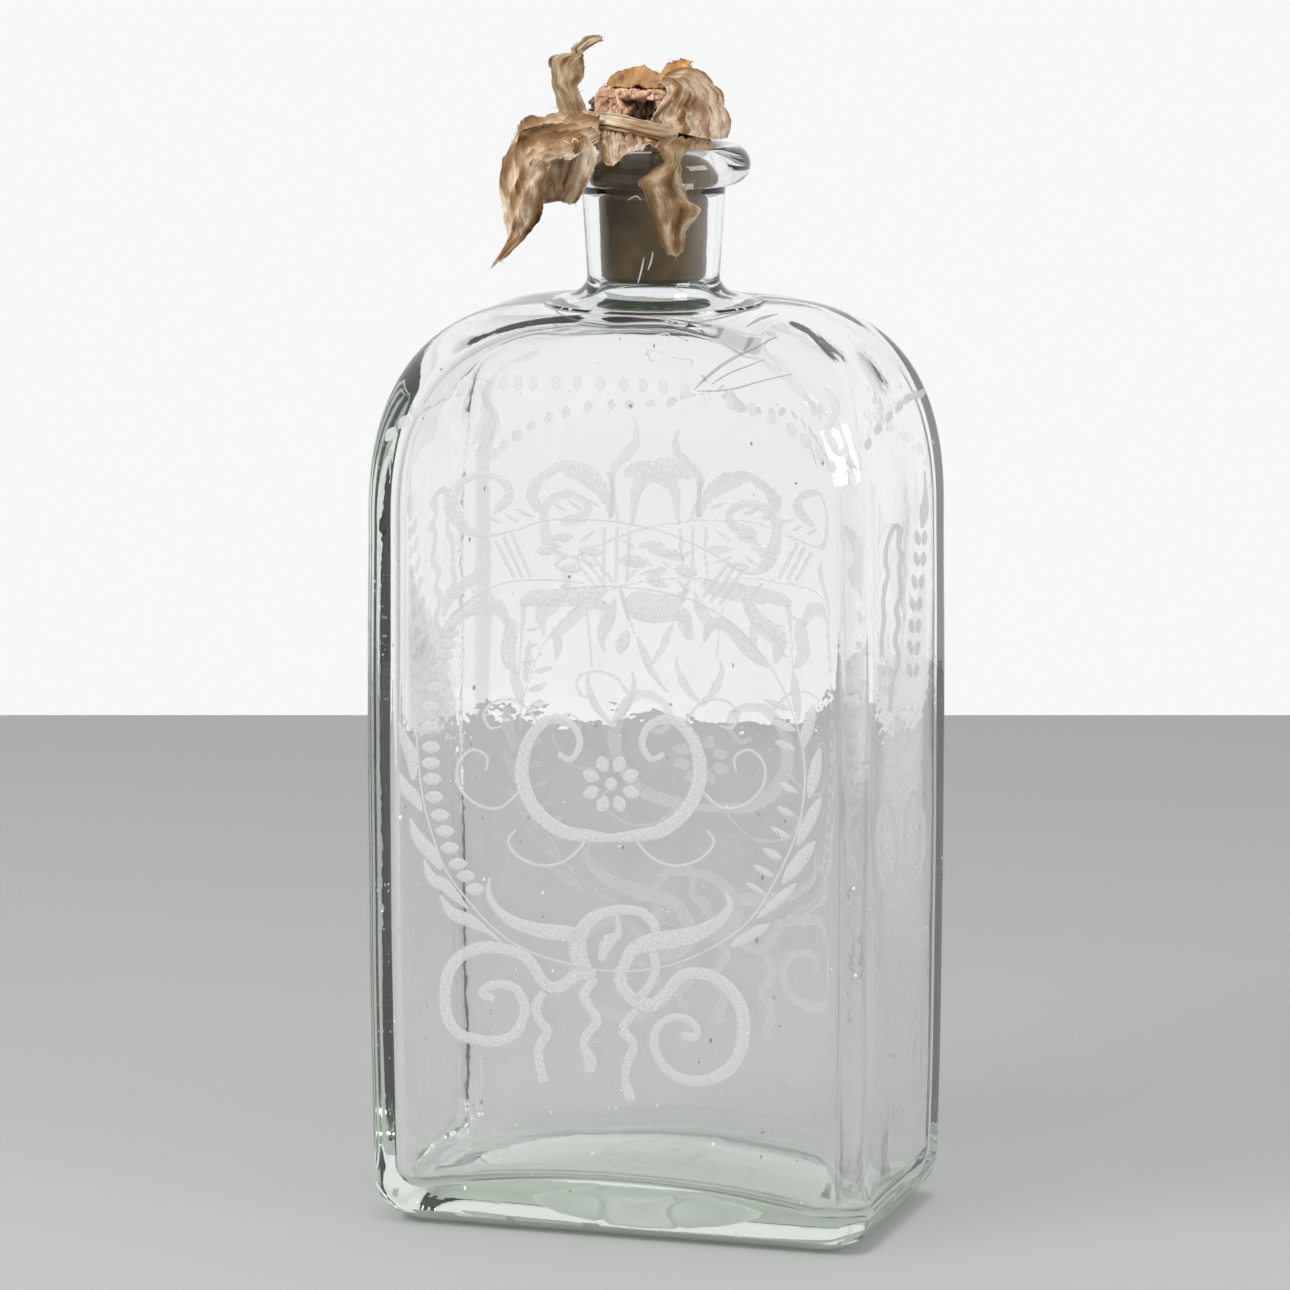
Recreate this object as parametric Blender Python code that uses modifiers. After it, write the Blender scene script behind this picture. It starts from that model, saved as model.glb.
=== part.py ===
"""A flat-sided schnapps bottle with a tapered cork and the torn membrane that once sealed it.

Run it with: blender --background --python part.py

The origin is the middle of the foot, +Z is up, and the broad front faces -Y. Every length is in
metres. The glass is one loft that climbs the outside from the pontil mark to the lip and comes
down the inside to the floor. The membrane's rags are thin sheets laid out around the neck.
"""
import math

import bmesh
import bpy
from mathutils import Vector

# Glass body
body_width = 0.1012
body_depth = 0.0606
glass_height = 0.2100
belly_height = 0.0850
wall_bow = 0.0008
edge_radius = 0.0045
heel_radius = 0.0085
foot_land = 0.0060
foot_edge_radius = 0.0060
wall = 0.0036
inner_edge_radius = 0.0060
inner_heel_radius = 0.0065
shoulder_rise = 0.0435
shoulder_power = 2.5

# Floor and kick
floor_edge = 0.0052
floor_rise = 0.0088
kick_rise = 0.0066
floor_side_share = 0.45
pontil_radius = 0.0098
pontil_ring = 0.0022
pontil_depth = 0.0007

# Neck and lip
neck_length = 0.0300
neck_offset = -0.0010
flare_radius = 0.0212
flare_rise = 0.0048
flare_foot_drop = 0.0005
neck_foot_radius = 0.0128
neck_top_radius = 0.0139
lip_radius = 0.0187
lip_round = 0.0037
mouth_radius = 0.0128
mouth_round = 0.0018
seat_drop = 0.0066
seat_taper = 0.0020
bore_top_radius = 0.0109
bore_foot_radius = 0.0104
throat_radius = 0.0178
throat_rise = 0.0079
shoulder_wall = 0.0034

# Cork
fit_clearance = 0.0003
plug_length = 0.0262
plug_chamfer = 0.0012
cork_head_radius = 0.0115
cork_head_height = 0.0113
cork_crown_round = 0.0024
pit_radius = 0.0024
pit_depth = 0.0010

# Membrane
sheet_thickness = 0.0006
sheet_gap = 0.0003
wrinkle = 0.0003
cap_bulge = 0.0027
cap_rise = 0.0028
crown_rise = 0.0010
band_radius = 0.0013
band_height = 0.0046
band_lift = 0.0009
flap_reach = 0.0112
flap_rise = 0.0060
flap_drop = 0.0230
tongue_rise = 0.0040
tongue_drop = 0.0177
tongue_hang = 0.0010
pleat_spread = 0.0020
strip_width = 0.0066
strip_height = 0.0137
strip_cup = 0.0013
seal_turn_deg = 17.2

# Smoothness
quarter_steps = 8
side_point_share = 0.10
shoulder_steps = 12
wall_steps = 5
arc_steps = 5
lip_steps = 9
cork_steps = 32
curve_steps = 4
band_steps = 14

# Heights that follow from the sizes above
shoulder_top = glass_height - neck_length
shoulder_start = shoulder_top - shoulder_rise
neck_foot_height = shoulder_top + flare_rise
lip_centre_height = glass_height - lip_round
inner_shoulder_top = shoulder_top - shoulder_wall
bore_foot_height = inner_shoulder_top + throat_rise
seat_height = glass_height - seat_drop
cork_foot_height = glass_height - plug_length
cork_top_height = glass_height + cork_head_height
sheet_seat = sheet_gap + sheet_thickness / 2
cap_radius = cork_head_radius + sheet_seat
rag_root_radius = cork_head_radius + 2 * (sheet_gap + band_radius) + sheet_thickness / 2
rag_hang_radius = lip_radius + sheet_gap + sheet_seat


def clear_scene():
    """Removes whatever the file opened with."""
    for obj in list(bpy.data.objects):
        bpy.data.objects.remove(obj)


def collection_named(name):
    """A new collection in the scene."""
    collection = bpy.data.collections.new(name)
    bpy.context.scene.collection.children.link(collection)
    return collection


def material_named(name, colour, roughness, transmission=0.0):
    """A Principled material of one colour."""
    material = bpy.data.materials.new(name)
    material.use_nodes = True
    shader = material.node_tree.nodes["Principled BSDF"]
    shader.inputs["Base Color"].default_value = (*colour, 1.0)
    shader.inputs["Roughness"].default_value = roughness
    shader.inputs["Metallic"].default_value = 0.0
    shader.inputs["Transmission Weight"].default_value = transmission
    return material


def object_from(name, bm, material, collection, smooth_angle_deg=40.0):
    """Turns a bmesh into a named object with smooth faces between its sharp edges."""
    bmesh.ops.recalc_face_normals(bm, faces=bm.faces)
    mesh = bpy.data.meshes.new(name)
    bm.to_mesh(mesh)
    bm.free()
    mesh.materials.append(material)
    mesh.shade_smooth()
    mesh.set_sharp_from_angle(angle=math.radians(smooth_angle_deg))
    obj = bpy.data.objects.new(name, mesh)
    collection.objects.link(obj)
    return obj


def mix(a, b, share):
    """The value this share of the way from a to b."""
    return a + (b - a) * share


def smooth_path(points, steps):
    """Points along a Catmull-Rom curve through tuples of numbers."""
    padded = [points[0], *points, points[-1]]
    path = []
    for i in range(1, len(padded) - 2):
        before, here, there, after = padded[i - 1 : i + 3]
        for step in range(steps):
            t = step / steps
            path.append(
                tuple(
                    0.5 * (2 * q + (r - p) * t + (2 * p - 5 * q + 4 * r - s) * t**2
                           + (3 * q - p - 3 * r + s) * t**3)
                    for p, q, r, s in zip(before, here, there, after)
                )
            )
    path.append(tuple(points[-1]))
    return path


def at_share(path, share):
    """The point this share of the way along a list of evenly counted points."""
    place = min(max(share, 0.0), 1.0) * (len(path) - 1)
    first = min(int(place), len(path) - 2)
    return tuple(mix(a, b, place - first) for a, b in zip(path[first], path[first + 1]))


def section(half_x, half_y, radius, height, centre_x=0.0):
    """One level ring of the loft: a rectangle with round corners, or a circle where they meet."""
    r = min(radius, half_x, half_y)
    flat_x, flat_y = half_x - r, half_y - r
    arc = r * math.pi / 2
    total = side_point_share * (flat_x + flat_y) + arc
    quarter = []
    for step in range(quarter_steps + 1):
        along = total * step / quarter_steps
        beyond = along - side_point_share * flat_y - arc
        angle = min(max(along - side_point_share * flat_y, 0.0), arc) / r
        x = flat_x + r * math.cos(angle) - max(beyond, 0.0) / side_point_share
        y = flat_y + r * math.sin(angle) - max(flat_y - along / side_point_share, 0.0)
        quarter.append((x, y))
    back = quarter[:0:-1]
    ring = quarter[:-1] + [(-x, y) for x, y in back]
    ring += [(-x, -y) for x, y in quarter[:-1]] + [(x, -y) for x, y in back]
    return [Vector((centre_x + x, y, height)) for x, y in ring]


def circle(radius, height):
    """A round ring of the loft on the neck's axis."""
    return section(radius, radius, radius, height, neck_offset)


def half_sides(height):
    """Half the outside width and depth at a height: the walls draw in a little from the belly."""
    inset = wall_bow * ((height - belly_height) / belly_height) ** 2
    return body_width / 2 - inset, body_depth / 2 - inset


def domed(ring, half_x, half_y, edge, rise, side_share):
    """Lifts a ring onto a dome that is highest in the middle and lowest in the corners."""
    for point in ring:
        u = min(abs(point.x) / half_x, 1.0)
        v = min(abs(point.y) / half_y, 1.0)
        point.z = edge + rise * (1 - u * u) * (1 - (1 - side_share) * v * v)
    return ring


def underside_rings():
    """From the pontil mark in the middle of the kick out to the flat land of the foot."""
    half_x, half_y = half_sides(heel_radius)
    foot_x = half_x - heel_radius
    foot_y = half_y - heel_radius
    kick_x = foot_x - foot_land
    kick_y = foot_y - foot_land
    rings = []
    mark_shares = ((0.35, 0.0), (0.72, 0.0), (0.80, 1.0), (0.94, 1.0), (1.0, 0.0))
    for radius_share, drop_share in mark_shares:
        radius = pontil_radius * radius_share
        ring = domed(section(radius, radius, radius, 0.0), kick_x, kick_y, 0.0, kick_rise, 0.0)
        for point in ring:
            point.z -= pontil_depth * drop_share
        rings.append(ring)
    steps = arc_steps + 1
    for step in range(1, steps + 1):
        share = step / steps
        half = mix(pontil_radius, kick_x, share), mix(pontil_radius, kick_y, share)
        radius = mix(pontil_radius, foot_edge_radius, share)
        rings.append(domed(section(*half, radius, 0.0), kick_x, kick_y, 0.0, kick_rise, 0.0))
    rings.append(section(foot_x, foot_y, foot_edge_radius, 0.0))
    return rings


def outside_rings():
    """Up the outside: heel, wall, shoulder, flare, neck and lip."""
    rings = []
    for step in range(1, arc_steps + 1):
        angle = step / arc_steps * math.pi / 2
        height = heel_radius * (1 - math.cos(angle))
        inset = heel_radius * (1 - math.sin(angle))
        half_x, half_y = half_sides(height)
        radius = mix(foot_edge_radius, edge_radius, step / arc_steps)
        rings.append(section(half_x - inset, half_y - inset, radius, height))
    for step in range(1, wall_steps + 1):
        height = mix(heel_radius, shoulder_start, step / wall_steps)
        rings.append(section(*half_sides(height), edge_radius, height))
    top_x, top_y = half_sides(shoulder_start)
    for step in range(1, shoulder_steps + 1):
        angle = step / shoulder_steps * math.pi / 2
        out = max(math.cos(angle), 0.0) ** (2 / shoulder_power)
        up = math.sin(angle) ** (2 / shoulder_power)
        half_x = mix(flare_radius, top_x, out)
        half_y = mix(flare_radius, top_y, out)
        radius = mix(flare_radius, edge_radius, out)
        height = shoulder_start + (shoulder_rise - flare_foot_drop) * up
        rings.append(section(half_x, half_y, radius, height, neck_offset * (1 - out)))
    for step in range(arc_steps + 1):
        angle = (1 - step / arc_steps) * math.pi / 2
        radius = flare_radius - (flare_radius - neck_foot_radius) * math.cos(angle)
        rings.append(circle(radius, neck_foot_height - flare_rise * math.sin(angle)))
    neck_top_height = lip_centre_height - lip_round
    rings.append(circle(neck_top_radius, neck_top_height))
    lip_start_deg, lip_end_deg = -80.0, 90.0
    for step in range(lip_steps + 1):
        angle = math.radians(mix(lip_start_deg, lip_end_deg, step / lip_steps))
        radius = lip_radius - lip_round + lip_round * math.cos(angle)
        rings.append(circle(radius, lip_centre_height + lip_round * math.sin(angle)))
    return rings


def inside_rings():
    """Down the inside: mouth, bore, throat, shoulder, wall and floor."""
    rings = []
    for step in range(arc_steps):
        angle = math.pi / 2 * (1 + step / (arc_steps - 1))
        radius = mouth_radius + mouth_round * (1 + math.cos(angle))
        rings.append(circle(radius, glass_height - mouth_round * (1 - math.sin(angle))))
    rings.append(circle(mouth_radius, seat_height))
    rings.append(circle(bore_top_radius, seat_height - seat_taper))
    for step in range(arc_steps + 1):
        angle = step / arc_steps * math.pi / 2
        radius = throat_radius - (throat_radius - bore_foot_radius) * math.cos(angle)
        rings.append(circle(radius, bore_foot_height - throat_rise * math.sin(angle)))
    top_x, top_y = (half - wall for half in half_sides(shoulder_start))
    for step in range(1, shoulder_steps + 1):
        angle = (1 - step / shoulder_steps) * math.pi / 2
        out = max(math.cos(angle), 0.0) ** (2 / shoulder_power)
        up = math.sin(angle) ** (2 / shoulder_power)
        half_x = mix(throat_radius, top_x, out)
        half_y = mix(throat_radius, top_y, out)
        radius = mix(throat_radius, inner_edge_radius, out)
        height = shoulder_start + (inner_shoulder_top - shoulder_start) * up
        rings.append(section(half_x, half_y, radius, height, neck_offset * (1 - out)))
    wall_foot = floor_edge + inner_heel_radius
    for step in range(1, wall_steps + 1):
        height = mix(shoulder_start, wall_foot, step / wall_steps)
        half_x, half_y = half_sides(height)
        rings.append(section(half_x - wall, half_y - wall, inner_edge_radius, height))
    half_x, half_y = (half - wall for half in half_sides(wall_foot))
    for step in range(1, arc_steps + 1):
        angle = step / arc_steps * math.pi / 2
        inset = inner_heel_radius * (1 - math.cos(angle))
        ring = section(half_x - inset, half_y - inset, inner_edge_radius, 0.0)
        domed(ring, half_x, half_y, floor_edge, floor_rise, floor_side_share)
        for point in ring:
            point.z += inner_heel_radius * (1 - math.sin(angle))
        rings.append(ring)
    floor_x, floor_y = half_x - inner_heel_radius, half_y - inner_heel_radius
    for step in range(1, arc_steps + 1):
        share = 1 - step / (arc_steps + 1)
        ring = section(floor_x * share, floor_y * share, inner_edge_radius, 0.0)
        rings.append(domed(ring, half_x, half_y, floor_edge, floor_rise, floor_side_share))
    return rings


def lofted(rings):
    """A closed skin over rings of equally many points, capped at both ends."""
    bm = bmesh.new()
    rows = [[bm.verts.new(point) for point in ring] for ring in rings]
    count = len(rows[0])
    for low, high in zip(rows, rows[1:]):
        for i in range(count):
            j = (i + 1) % count
            bm.faces.new((low[i], low[j], high[j], high[i]))
    bm.faces.new(reversed(rows[0]))
    bm.faces.new(rows[-1])
    return bm


def make_glass(material, collection):
    """The bottle: one blown piece with its lip, kick and pontil mark."""
    bm = lofted(underside_rings() + outside_rings() + inside_rings())
    return object_from("glass_bottle", bm, material, collection, 60.0)


def bore_radius(height):
    """The radius of the neck's bore at a height below the seat."""
    bore_top = seat_height - seat_taper
    share = (height - bore_foot_height) / (bore_top - bore_foot_height)
    return mix(bore_foot_radius, bore_top_radius, share)


def pit_cutter(place, radius, collection):
    """A rough ball that bites a pit out of the cork."""
    bm = bmesh.new()
    bmesh.ops.create_icosphere(bm, subdivisions=1, radius=radius)
    bmesh.ops.translate(bm, verts=bm.verts, vec=place)
    mesh = bpy.data.meshes.new("pit")
    bm.to_mesh(mesh)
    bm.free()
    cutter = bpy.data.objects.new("pit_cutter", mesh)
    cutter.hide_render = True
    cutter.display_type = "WIRE"
    collection.objects.link(cutter)
    return cutter


def cork_profile():
    """Half the cork's outline, from the middle of its crown down to the middle of its foot."""
    foot_radius = bore_radius(cork_foot_height) - fit_clearance
    seat_radius = mouth_radius - fit_clearance
    crown_base = cork_top_height - cork_crown_round
    profile = [(0.0, cork_top_height)]
    for step in range(arc_steps):
        angle = (1 - step / (arc_steps - 1)) * math.pi / 2
        radius = cork_head_radius - cork_crown_round * (1 - math.cos(angle))
        profile.append((radius, crown_base + cork_crown_round * math.sin(angle)))
    profile += [
        (cork_head_radius, glass_height + fit_clearance),
        (seat_radius, glass_height - mouth_round),
        (seat_radius, seat_height + fit_clearance),
        (bore_top_radius - fit_clearance, seat_height - seat_taper + fit_clearance),
        (foot_radius, cork_foot_height + plug_chamfer),
        (foot_radius - plug_chamfer, cork_foot_height),
        (0.0, cork_foot_height),
    ]
    return profile


def make_cork(material, collection, cutters):
    """A hand-cut cork, stepped where the mouth widens, with a crumbled and pitted head."""
    profile = cork_profile()
    mesh = bpy.data.meshes.new("cork_stopper")
    points = [(radius, 0.0, height) for radius, height in profile]
    mesh.from_pydata(points, [(i, i + 1) for i in range(len(points) - 1)], [])
    mesh.materials.append(material)
    cork = bpy.data.objects.new("cork_stopper", mesh)
    cork.location.x = neck_offset
    collection.objects.link(cork)
    turned = cork.modifiers.new("Turned", "SCREW")
    turned.steps = cork_steps
    turned.render_steps = cork_steps
    turned.use_merge_vertices = True
    turned.merge_threshold = 0.00001
    turned.use_smooth_shade = True
    pits = ((206.0, 0.62), (228.0, 0.86), (247.0, 0.60), (268.0, 0.82), (289.0, 0.58))
    for number, (turn_deg, up_share) in enumerate(pits):
        out = cork_head_radius + pit_radius - pit_depth
        height = mix(glass_height, cork_top_height, up_share)
        cutter = pit_cutter(around_neck(turn_deg, out, height), pit_radius, cutters)
        bite = cork.modifiers.new(f"Pit{number}", "BOOLEAN")
        bite.operation = "DIFFERENCE"
        bite.object = cutter
    return cork


def around_neck(turn_deg, radius, height):
    """A point at this turn about the neck's axis, counted from +X towards +Y."""
    angle = math.radians(turn_deg)
    return Vector((neck_offset + radius * math.cos(angle), radius * math.sin(angle), height))


def sheet_object(name, rows, material, collection):
    """A thin sheet over a grid of points, given its thickness on both sides."""
    bm = bmesh.new()
    grid = [[bm.verts.new(point) for point in row] for row in rows]
    for low, high in zip(grid, grid[1:]):
        for i in range(len(low) - 1):
            bm.faces.new((low[i], low[i + 1], high[i + 1], high[i]))
    obj = object_from(name, bm, material, collection, 180.0)
    solid = obj.modifiers.new("Thickness", "SOLIDIFY")
    solid.thickness = sheet_thickness
    solid.offset = 0.0
    return obj


def rag(name, turns_deg, profiles, columns, rows, folds, material, collection):
    """A thin sheet with a profile of (radius, height) points at each of its turns about the neck."""
    curves = [smooth_path(profile, curve_steps) for profile in profiles]
    grid = []
    for row in range(rows + 1):
        line = []
        for column in range(columns + 1):
            across = column / columns * (len(curves) - 1)
            side = min(int(across), len(curves) - 2)
            ends = at_share(curves[side], row / rows), at_share(curves[side + 1], row / rows)
            radius, height = (mix(a, b, across - side) for a, b in zip(*ends))
            turn = mix(turns_deg[side], turns_deg[side + 1], across - side)
            ripple = wrinkle * (1 + math.sin(math.pi * folds * column / columns)) * row / rows
            line.append(around_neck(turn, radius + ripple, height))
        grid.append(line)
    return sheet_object(name, grid, material, collection)


def over_cork(out_share, up_share):
    """Radius and height over the cork: out 1 is its side, up 0 the lip and up 1 its crown."""
    radius = cap_radius * out_share if out_share <= 1 else cap_radius + cap_bulge * (out_share - 1)
    foot = glass_height + sheet_seat
    crown = cork_top_height + sheet_seat
    height = mix(foot, crown, up_share) if up_share <= 1 else crown + cap_rise * (up_share - 1)
    return radius, height


def over_lip(out_share, up_share):
    """Radius and height of the hanging rag: out 1 is just past the lip, up 0 its top."""
    if out_share <= 1:
        radius = mix(rag_root_radius, rag_hang_radius, out_share)
    else:
        radius = rag_hang_radius + flap_reach * (out_share - 1)
    return radius, glass_height + (flap_rise if up_share > 0 else flap_drop) * up_share


def make_cap(material, collection):
    """The part of the membrane still stretched over the right and the back of the cork."""
    turns_deg = (-57.0, -25.0, 17.0, 62.0, 107.0, 150.0, 177.0)
    cap_shares = (
        ((0.30, 1.10), (0.78, 1.15), (1.02, 0.88), (1.12, 0.66), (1.30, 0.44), (1.40, 0.24)),
        ((0.20, 1.15), (0.70, 1.55), (1.06, 0.90), (1.50, 0.62), (1.80, 0.36), (1.75, 0.10)),
        ((0.20, 1.30), (0.62, 1.90), (1.04, 0.86), (1.45, 0.56), (1.90, 0.26), (1.75, 0.03)),
        ((0.30, 1.20), (0.72, 1.35), (1.06, 0.88), (1.30, 0.58), (1.75, 0.24), (1.60, 0.03)),
        ((0.88, 1.04), (0.96, 1.02), (1.04, 0.86), (1.10, 0.56), (1.50, 0.24), (1.55, 0.03)),
        ((1.04, 0.78), (1.05, 0.70), (1.06, 0.60), (1.10, 0.44), (1.30, 0.24), (1.45, 0.08)),
        ((1.05, 0.68), (1.06, 0.62), (1.06, 0.56), (1.08, 0.50), (1.10, 0.42), (1.12, 0.34)),
    )
    profiles = [[over_cork(*point) for point in profile] for profile in cap_shares]
    return rag("membrane_cap", turns_deg, profiles, 24, 12, 11, material, collection)


def make_crown(material, collection):
    """The stiff amber scrap left on top of the cork."""
    turns_deg = (122.0, 155.0, 190.0, 225.0, 258.0, 294.0)
    crown_shares = ((0.74, 1.00), (0.70, 0.75), (0.78, 0.45), (0.66, 0.25), (0.74, 0.10), (0.62, 0.10))
    inner_share = 0.12
    profiles = []
    for reach_share, lift_share in crown_shares:
        base = cork_top_height + sheet_seat
        inner = (cap_radius * inner_share, base + crown_rise * 0.5)
        middle = (cap_radius * mix(inner_share, reach_share, 0.5), base + crown_rise * 0.35)
        outer = (cap_radius * reach_share, base + crown_rise * lift_share)
        profiles.append([inner, middle, outer])
    return rag("membrane_crown", turns_deg, profiles, 15, 4, 9, material, collection)


def make_flap(material, collection):
    """The broad rag on the left: it drops to a point and folds back in a second, shorter lobe."""
    turns_deg = (199.0, 212.0, 226.0, 238.0, 253.0)
    flap_shares = (
        ((0.00, 0.86), (0.90, 1.00), (1.42, 0.62), (1.76, -0.08), (1.82, -0.36), (1.80, -0.68), (2.00, -1.00)),
        ((0.00, 0.84), (0.85, 0.92), (1.30, 0.45), (1.58, -0.12), (1.62, -0.38), (1.55, -0.66), (1.66, -0.90)),
        ((0.00, 0.80), (0.75, 0.80), (1.08, 0.20), (1.24, -0.15), (1.28, -0.30), (1.30, -0.42), (1.30, -0.52)),
        ((0.00, 0.84), (0.78, 0.86), (1.10, 0.30), (1.20, -0.12), (1.18, -0.25), (1.12, -0.34), (1.06, -0.42)),
        ((0.00, 0.78), (0.70, 0.62), (0.98, 0.25), (1.05, -0.05), (1.06, -0.15), (1.06, -0.24), (1.04, -0.31)),
    )
    profiles = [[over_lip(*point) for point in profile] for profile in flap_shares]
    return rag("membrane_flap", turns_deg, profiles, 16, 16, 7, material, collection)


def make_tongue(material, collection):
    """The narrow rag that hangs in front of the neck, over the lip."""
    middle = [
        (rag_root_radius, glass_height + tongue_rise),
        (mix(rag_root_radius, rag_hang_radius, 0.65), glass_height + tongue_rise * 0.60),
        (rag_hang_radius, glass_height),
        (rag_hang_radius + tongue_hang * 0.20, glass_height - tongue_drop * 0.25),
        (rag_hang_radius, glass_height - tongue_drop * 0.50),
        (rag_hang_radius + tongue_hang * 0.60, glass_height - tongue_drop * 0.75),
        (rag_hang_radius + tongue_hang, glass_height - tongue_drop),
    ]
    curve = smooth_path(middle, curve_steps)
    edge_turns_deg = ((299.0, 313.0), (291.0, 307.0), (293.5, 302.5), (281.5, 304.0), (284.5, 305.5),
                      (287.0, 311.0), (290.5, 303.0), (298.0, 300.5))
    rows, columns = 15, 5
    grid = []
    for row in range(rows + 1):
        share = row / rows
        radius, height = at_share(curve, share)
        left_deg, right_deg = at_share(edge_turns_deg, share)
        line = []
        for column in range(columns + 1):
            across = column / columns
            fold = wrinkle * (1 + math.sin(math.pi * 3 * across)) * share
            line.append(around_neck(mix(left_deg, right_deg, across), radius + fold, height))
        grid.append(line)
    return sheet_object("membrane_tongue", grid, material, collection)


def make_pleats(material, collection):
    """The gathered rag between the band and the lip."""
    top = glass_height + band_height - band_radius - sheet_seat
    foot = glass_height + sheet_seat
    inner = cap_radius + pleat_spread * 0.3
    turns_deg = (228.0, 246.0, 264.0, 282.0)
    foot_shares = (0.0, 0.15, 0.40, 0.62)
    profiles = []
    for foot_share in foot_shares:
        hem = mix(foot, top, foot_share)
        profiles.append([(inner, top), (inner + pleat_spread * 0.4, mix(top, hem, 0.5)), (inner + pleat_spread, hem)])
    return rag("membrane_pleats", turns_deg, profiles, 12, 4, 11, material, collection)


def make_band(material, collection):
    """The membrane rolled into a cord across the front of the cork."""
    ring_radius = cork_head_radius + sheet_gap + band_radius
    start_deg, end_deg = 209.0, 294.0
    curve = bpy.data.curves.new("membrane_band", "CURVE")
    curve.dimensions = "3D"
    curve.bevel_depth = band_radius
    curve.bevel_resolution = 2
    curve.use_fill_caps = True
    spline = curve.splines.new("POLY")
    spline.points.add(band_steps)
    for number, point in enumerate(spline.points):
        share = number / band_steps
        lift = band_lift * (1 - share) ** 2
        place = around_neck(mix(start_deg, end_deg, share), ring_radius, glass_height + band_height + lift)
        point.co = (*place, 1.0)
    curve.materials.append(material)
    band = bpy.data.objects.new("membrane_band", curve)
    collection.objects.link(band)
    return band


def seal_frame(collection):
    """An empty on the neck's axis at the lip, turned to face the torn side of the seal."""
    empty = bpy.data.objects.new("seal_frame", None)
    empty.location = (neck_offset, 0.0, glass_height)
    empty.rotation_euler.z = math.radians(seal_turn_deg)
    collection.objects.link(empty)
    return empty


def make_strip(material, collection, frame):
    """The rag that stands up on the left, torn half through below its curled tip."""
    middle_x = -rag_root_radius
    foot_z = flap_rise + sheet_gap
    edge_shares = ((-0.36, 0.34, 0.00), (-0.54, 0.14, 0.26), (-0.70, 0.10, 0.43), (-0.65, 0.28, 0.60),
                   (-0.70, 0.30, 0.74), (-0.08, 0.29, 0.80), (-0.12, 0.46, 0.89), (0.36, 0.76, 1.00))
    rows = smooth_path(edge_shares, 3)
    columns = 4
    grid = []
    for left_share, right_share, up_share in rows:
        line = []
        for column in range(columns + 1):
            across = column / columns
            x = middle_x + strip_width * mix(left_share, right_share, across)
            y = strip_cup * ((2 * across - 1) ** 2 * (1 - up_share) - up_share)
            line.append(Vector((x, y, foot_z + strip_height * up_share)))
        grid.append(line)
    strip = sheet_object("membrane_strip", grid, material, collection)
    strip.parent = frame
    return strip


def main():
    clear_scene()
    parts = collection_named("Schnapps bottle")
    cutters = collection_named("Cutters")
    glass = material_named("glass", (0.80, 0.87, 0.82), 0.04, 1.0)
    cork = material_named("cork", (0.42, 0.27, 0.18), 0.85)
    membrane = material_named("membrane", (0.62, 0.44, 0.26), 0.60)
    amber = material_named("membrane_amber", (0.60, 0.30, 0.09), 0.45)
    make_glass(glass, parts)
    make_cork(cork, parts, cutters)
    make_cap(membrane, parts)
    make_crown(amber, parts)
    make_band(membrane, parts)
    make_pleats(membrane, parts)
    make_flap(membrane, parts)
    make_tongue(membrane, parts)
    make_strip(membrane, parts, seal_frame(parts))


main()
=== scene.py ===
"""The looks of a flat-sided schnapps bottle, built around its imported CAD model.

Lengths are metres in the CAD frame: +Z up, the origin in the middle of the foot, the front at -Y.
The glass repeats the CAD's loft with finer steps and a blown surface. The wheel-cut ornament is
drawn as strokes whose places are read from the photograph, in a frame of 1290 x 1290 pixels, and
laid on the glass where the camera sees them.
"""
import math
import random

import bmesh
import bpy
from mathutils import Matrix, Vector, noise
from mathutils.bvhtree import BVHTree


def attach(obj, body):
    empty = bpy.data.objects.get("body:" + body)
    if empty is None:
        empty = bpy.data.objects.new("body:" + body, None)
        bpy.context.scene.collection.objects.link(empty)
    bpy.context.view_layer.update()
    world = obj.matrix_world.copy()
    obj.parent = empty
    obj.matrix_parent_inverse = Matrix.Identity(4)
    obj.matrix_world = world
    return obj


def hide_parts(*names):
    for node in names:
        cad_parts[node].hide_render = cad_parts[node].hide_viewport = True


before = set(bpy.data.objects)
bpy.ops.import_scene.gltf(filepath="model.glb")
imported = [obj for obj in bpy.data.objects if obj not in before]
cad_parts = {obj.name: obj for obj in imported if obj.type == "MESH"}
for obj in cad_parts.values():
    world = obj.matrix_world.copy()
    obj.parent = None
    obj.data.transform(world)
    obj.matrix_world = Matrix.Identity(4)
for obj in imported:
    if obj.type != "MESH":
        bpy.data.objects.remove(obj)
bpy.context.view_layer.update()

# Camera, fitted to the outline in the photograph
photo_pixels = 1290
view_turn_deg = 17.23
view_rise_deg = 9.65
view_distance = 1.367
view_side_shift = -0.002608
view_height = 0.11248
view_lens_pixels = 7034
sensor_width_mm = 36.0

# Glass body, as in the CAD model
body_width = 0.1012
body_depth = 0.0606
glass_height = 0.2100
belly_height = 0.0850
wall_bow = 0.0008
edge_radius = 0.0045
heel_radius = 0.0085
foot_land = 0.0060
foot_edge_radius = 0.0060
wall = 0.0036
inner_edge_radius = 0.0060
inner_heel_radius = 0.0065
shoulder_rise = 0.0435
shoulder_power = 2.5
floor_edge = 0.0052
floor_rise = 0.0088
kick_rise = 0.0066
floor_side_share = 0.45
pontil_radius = 0.0098
pontil_depth = 0.0007
neck_length = 0.0300
neck_offset = -0.0010
flare_radius = 0.0212
flare_rise = 0.0048
flare_foot_drop = 0.0005
neck_foot_radius = 0.0128
neck_top_radius = 0.0139
lip_radius = 0.0187
lip_round = 0.0037
mouth_radius = 0.0128
mouth_round = 0.0018
seat_drop = 0.0066
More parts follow.
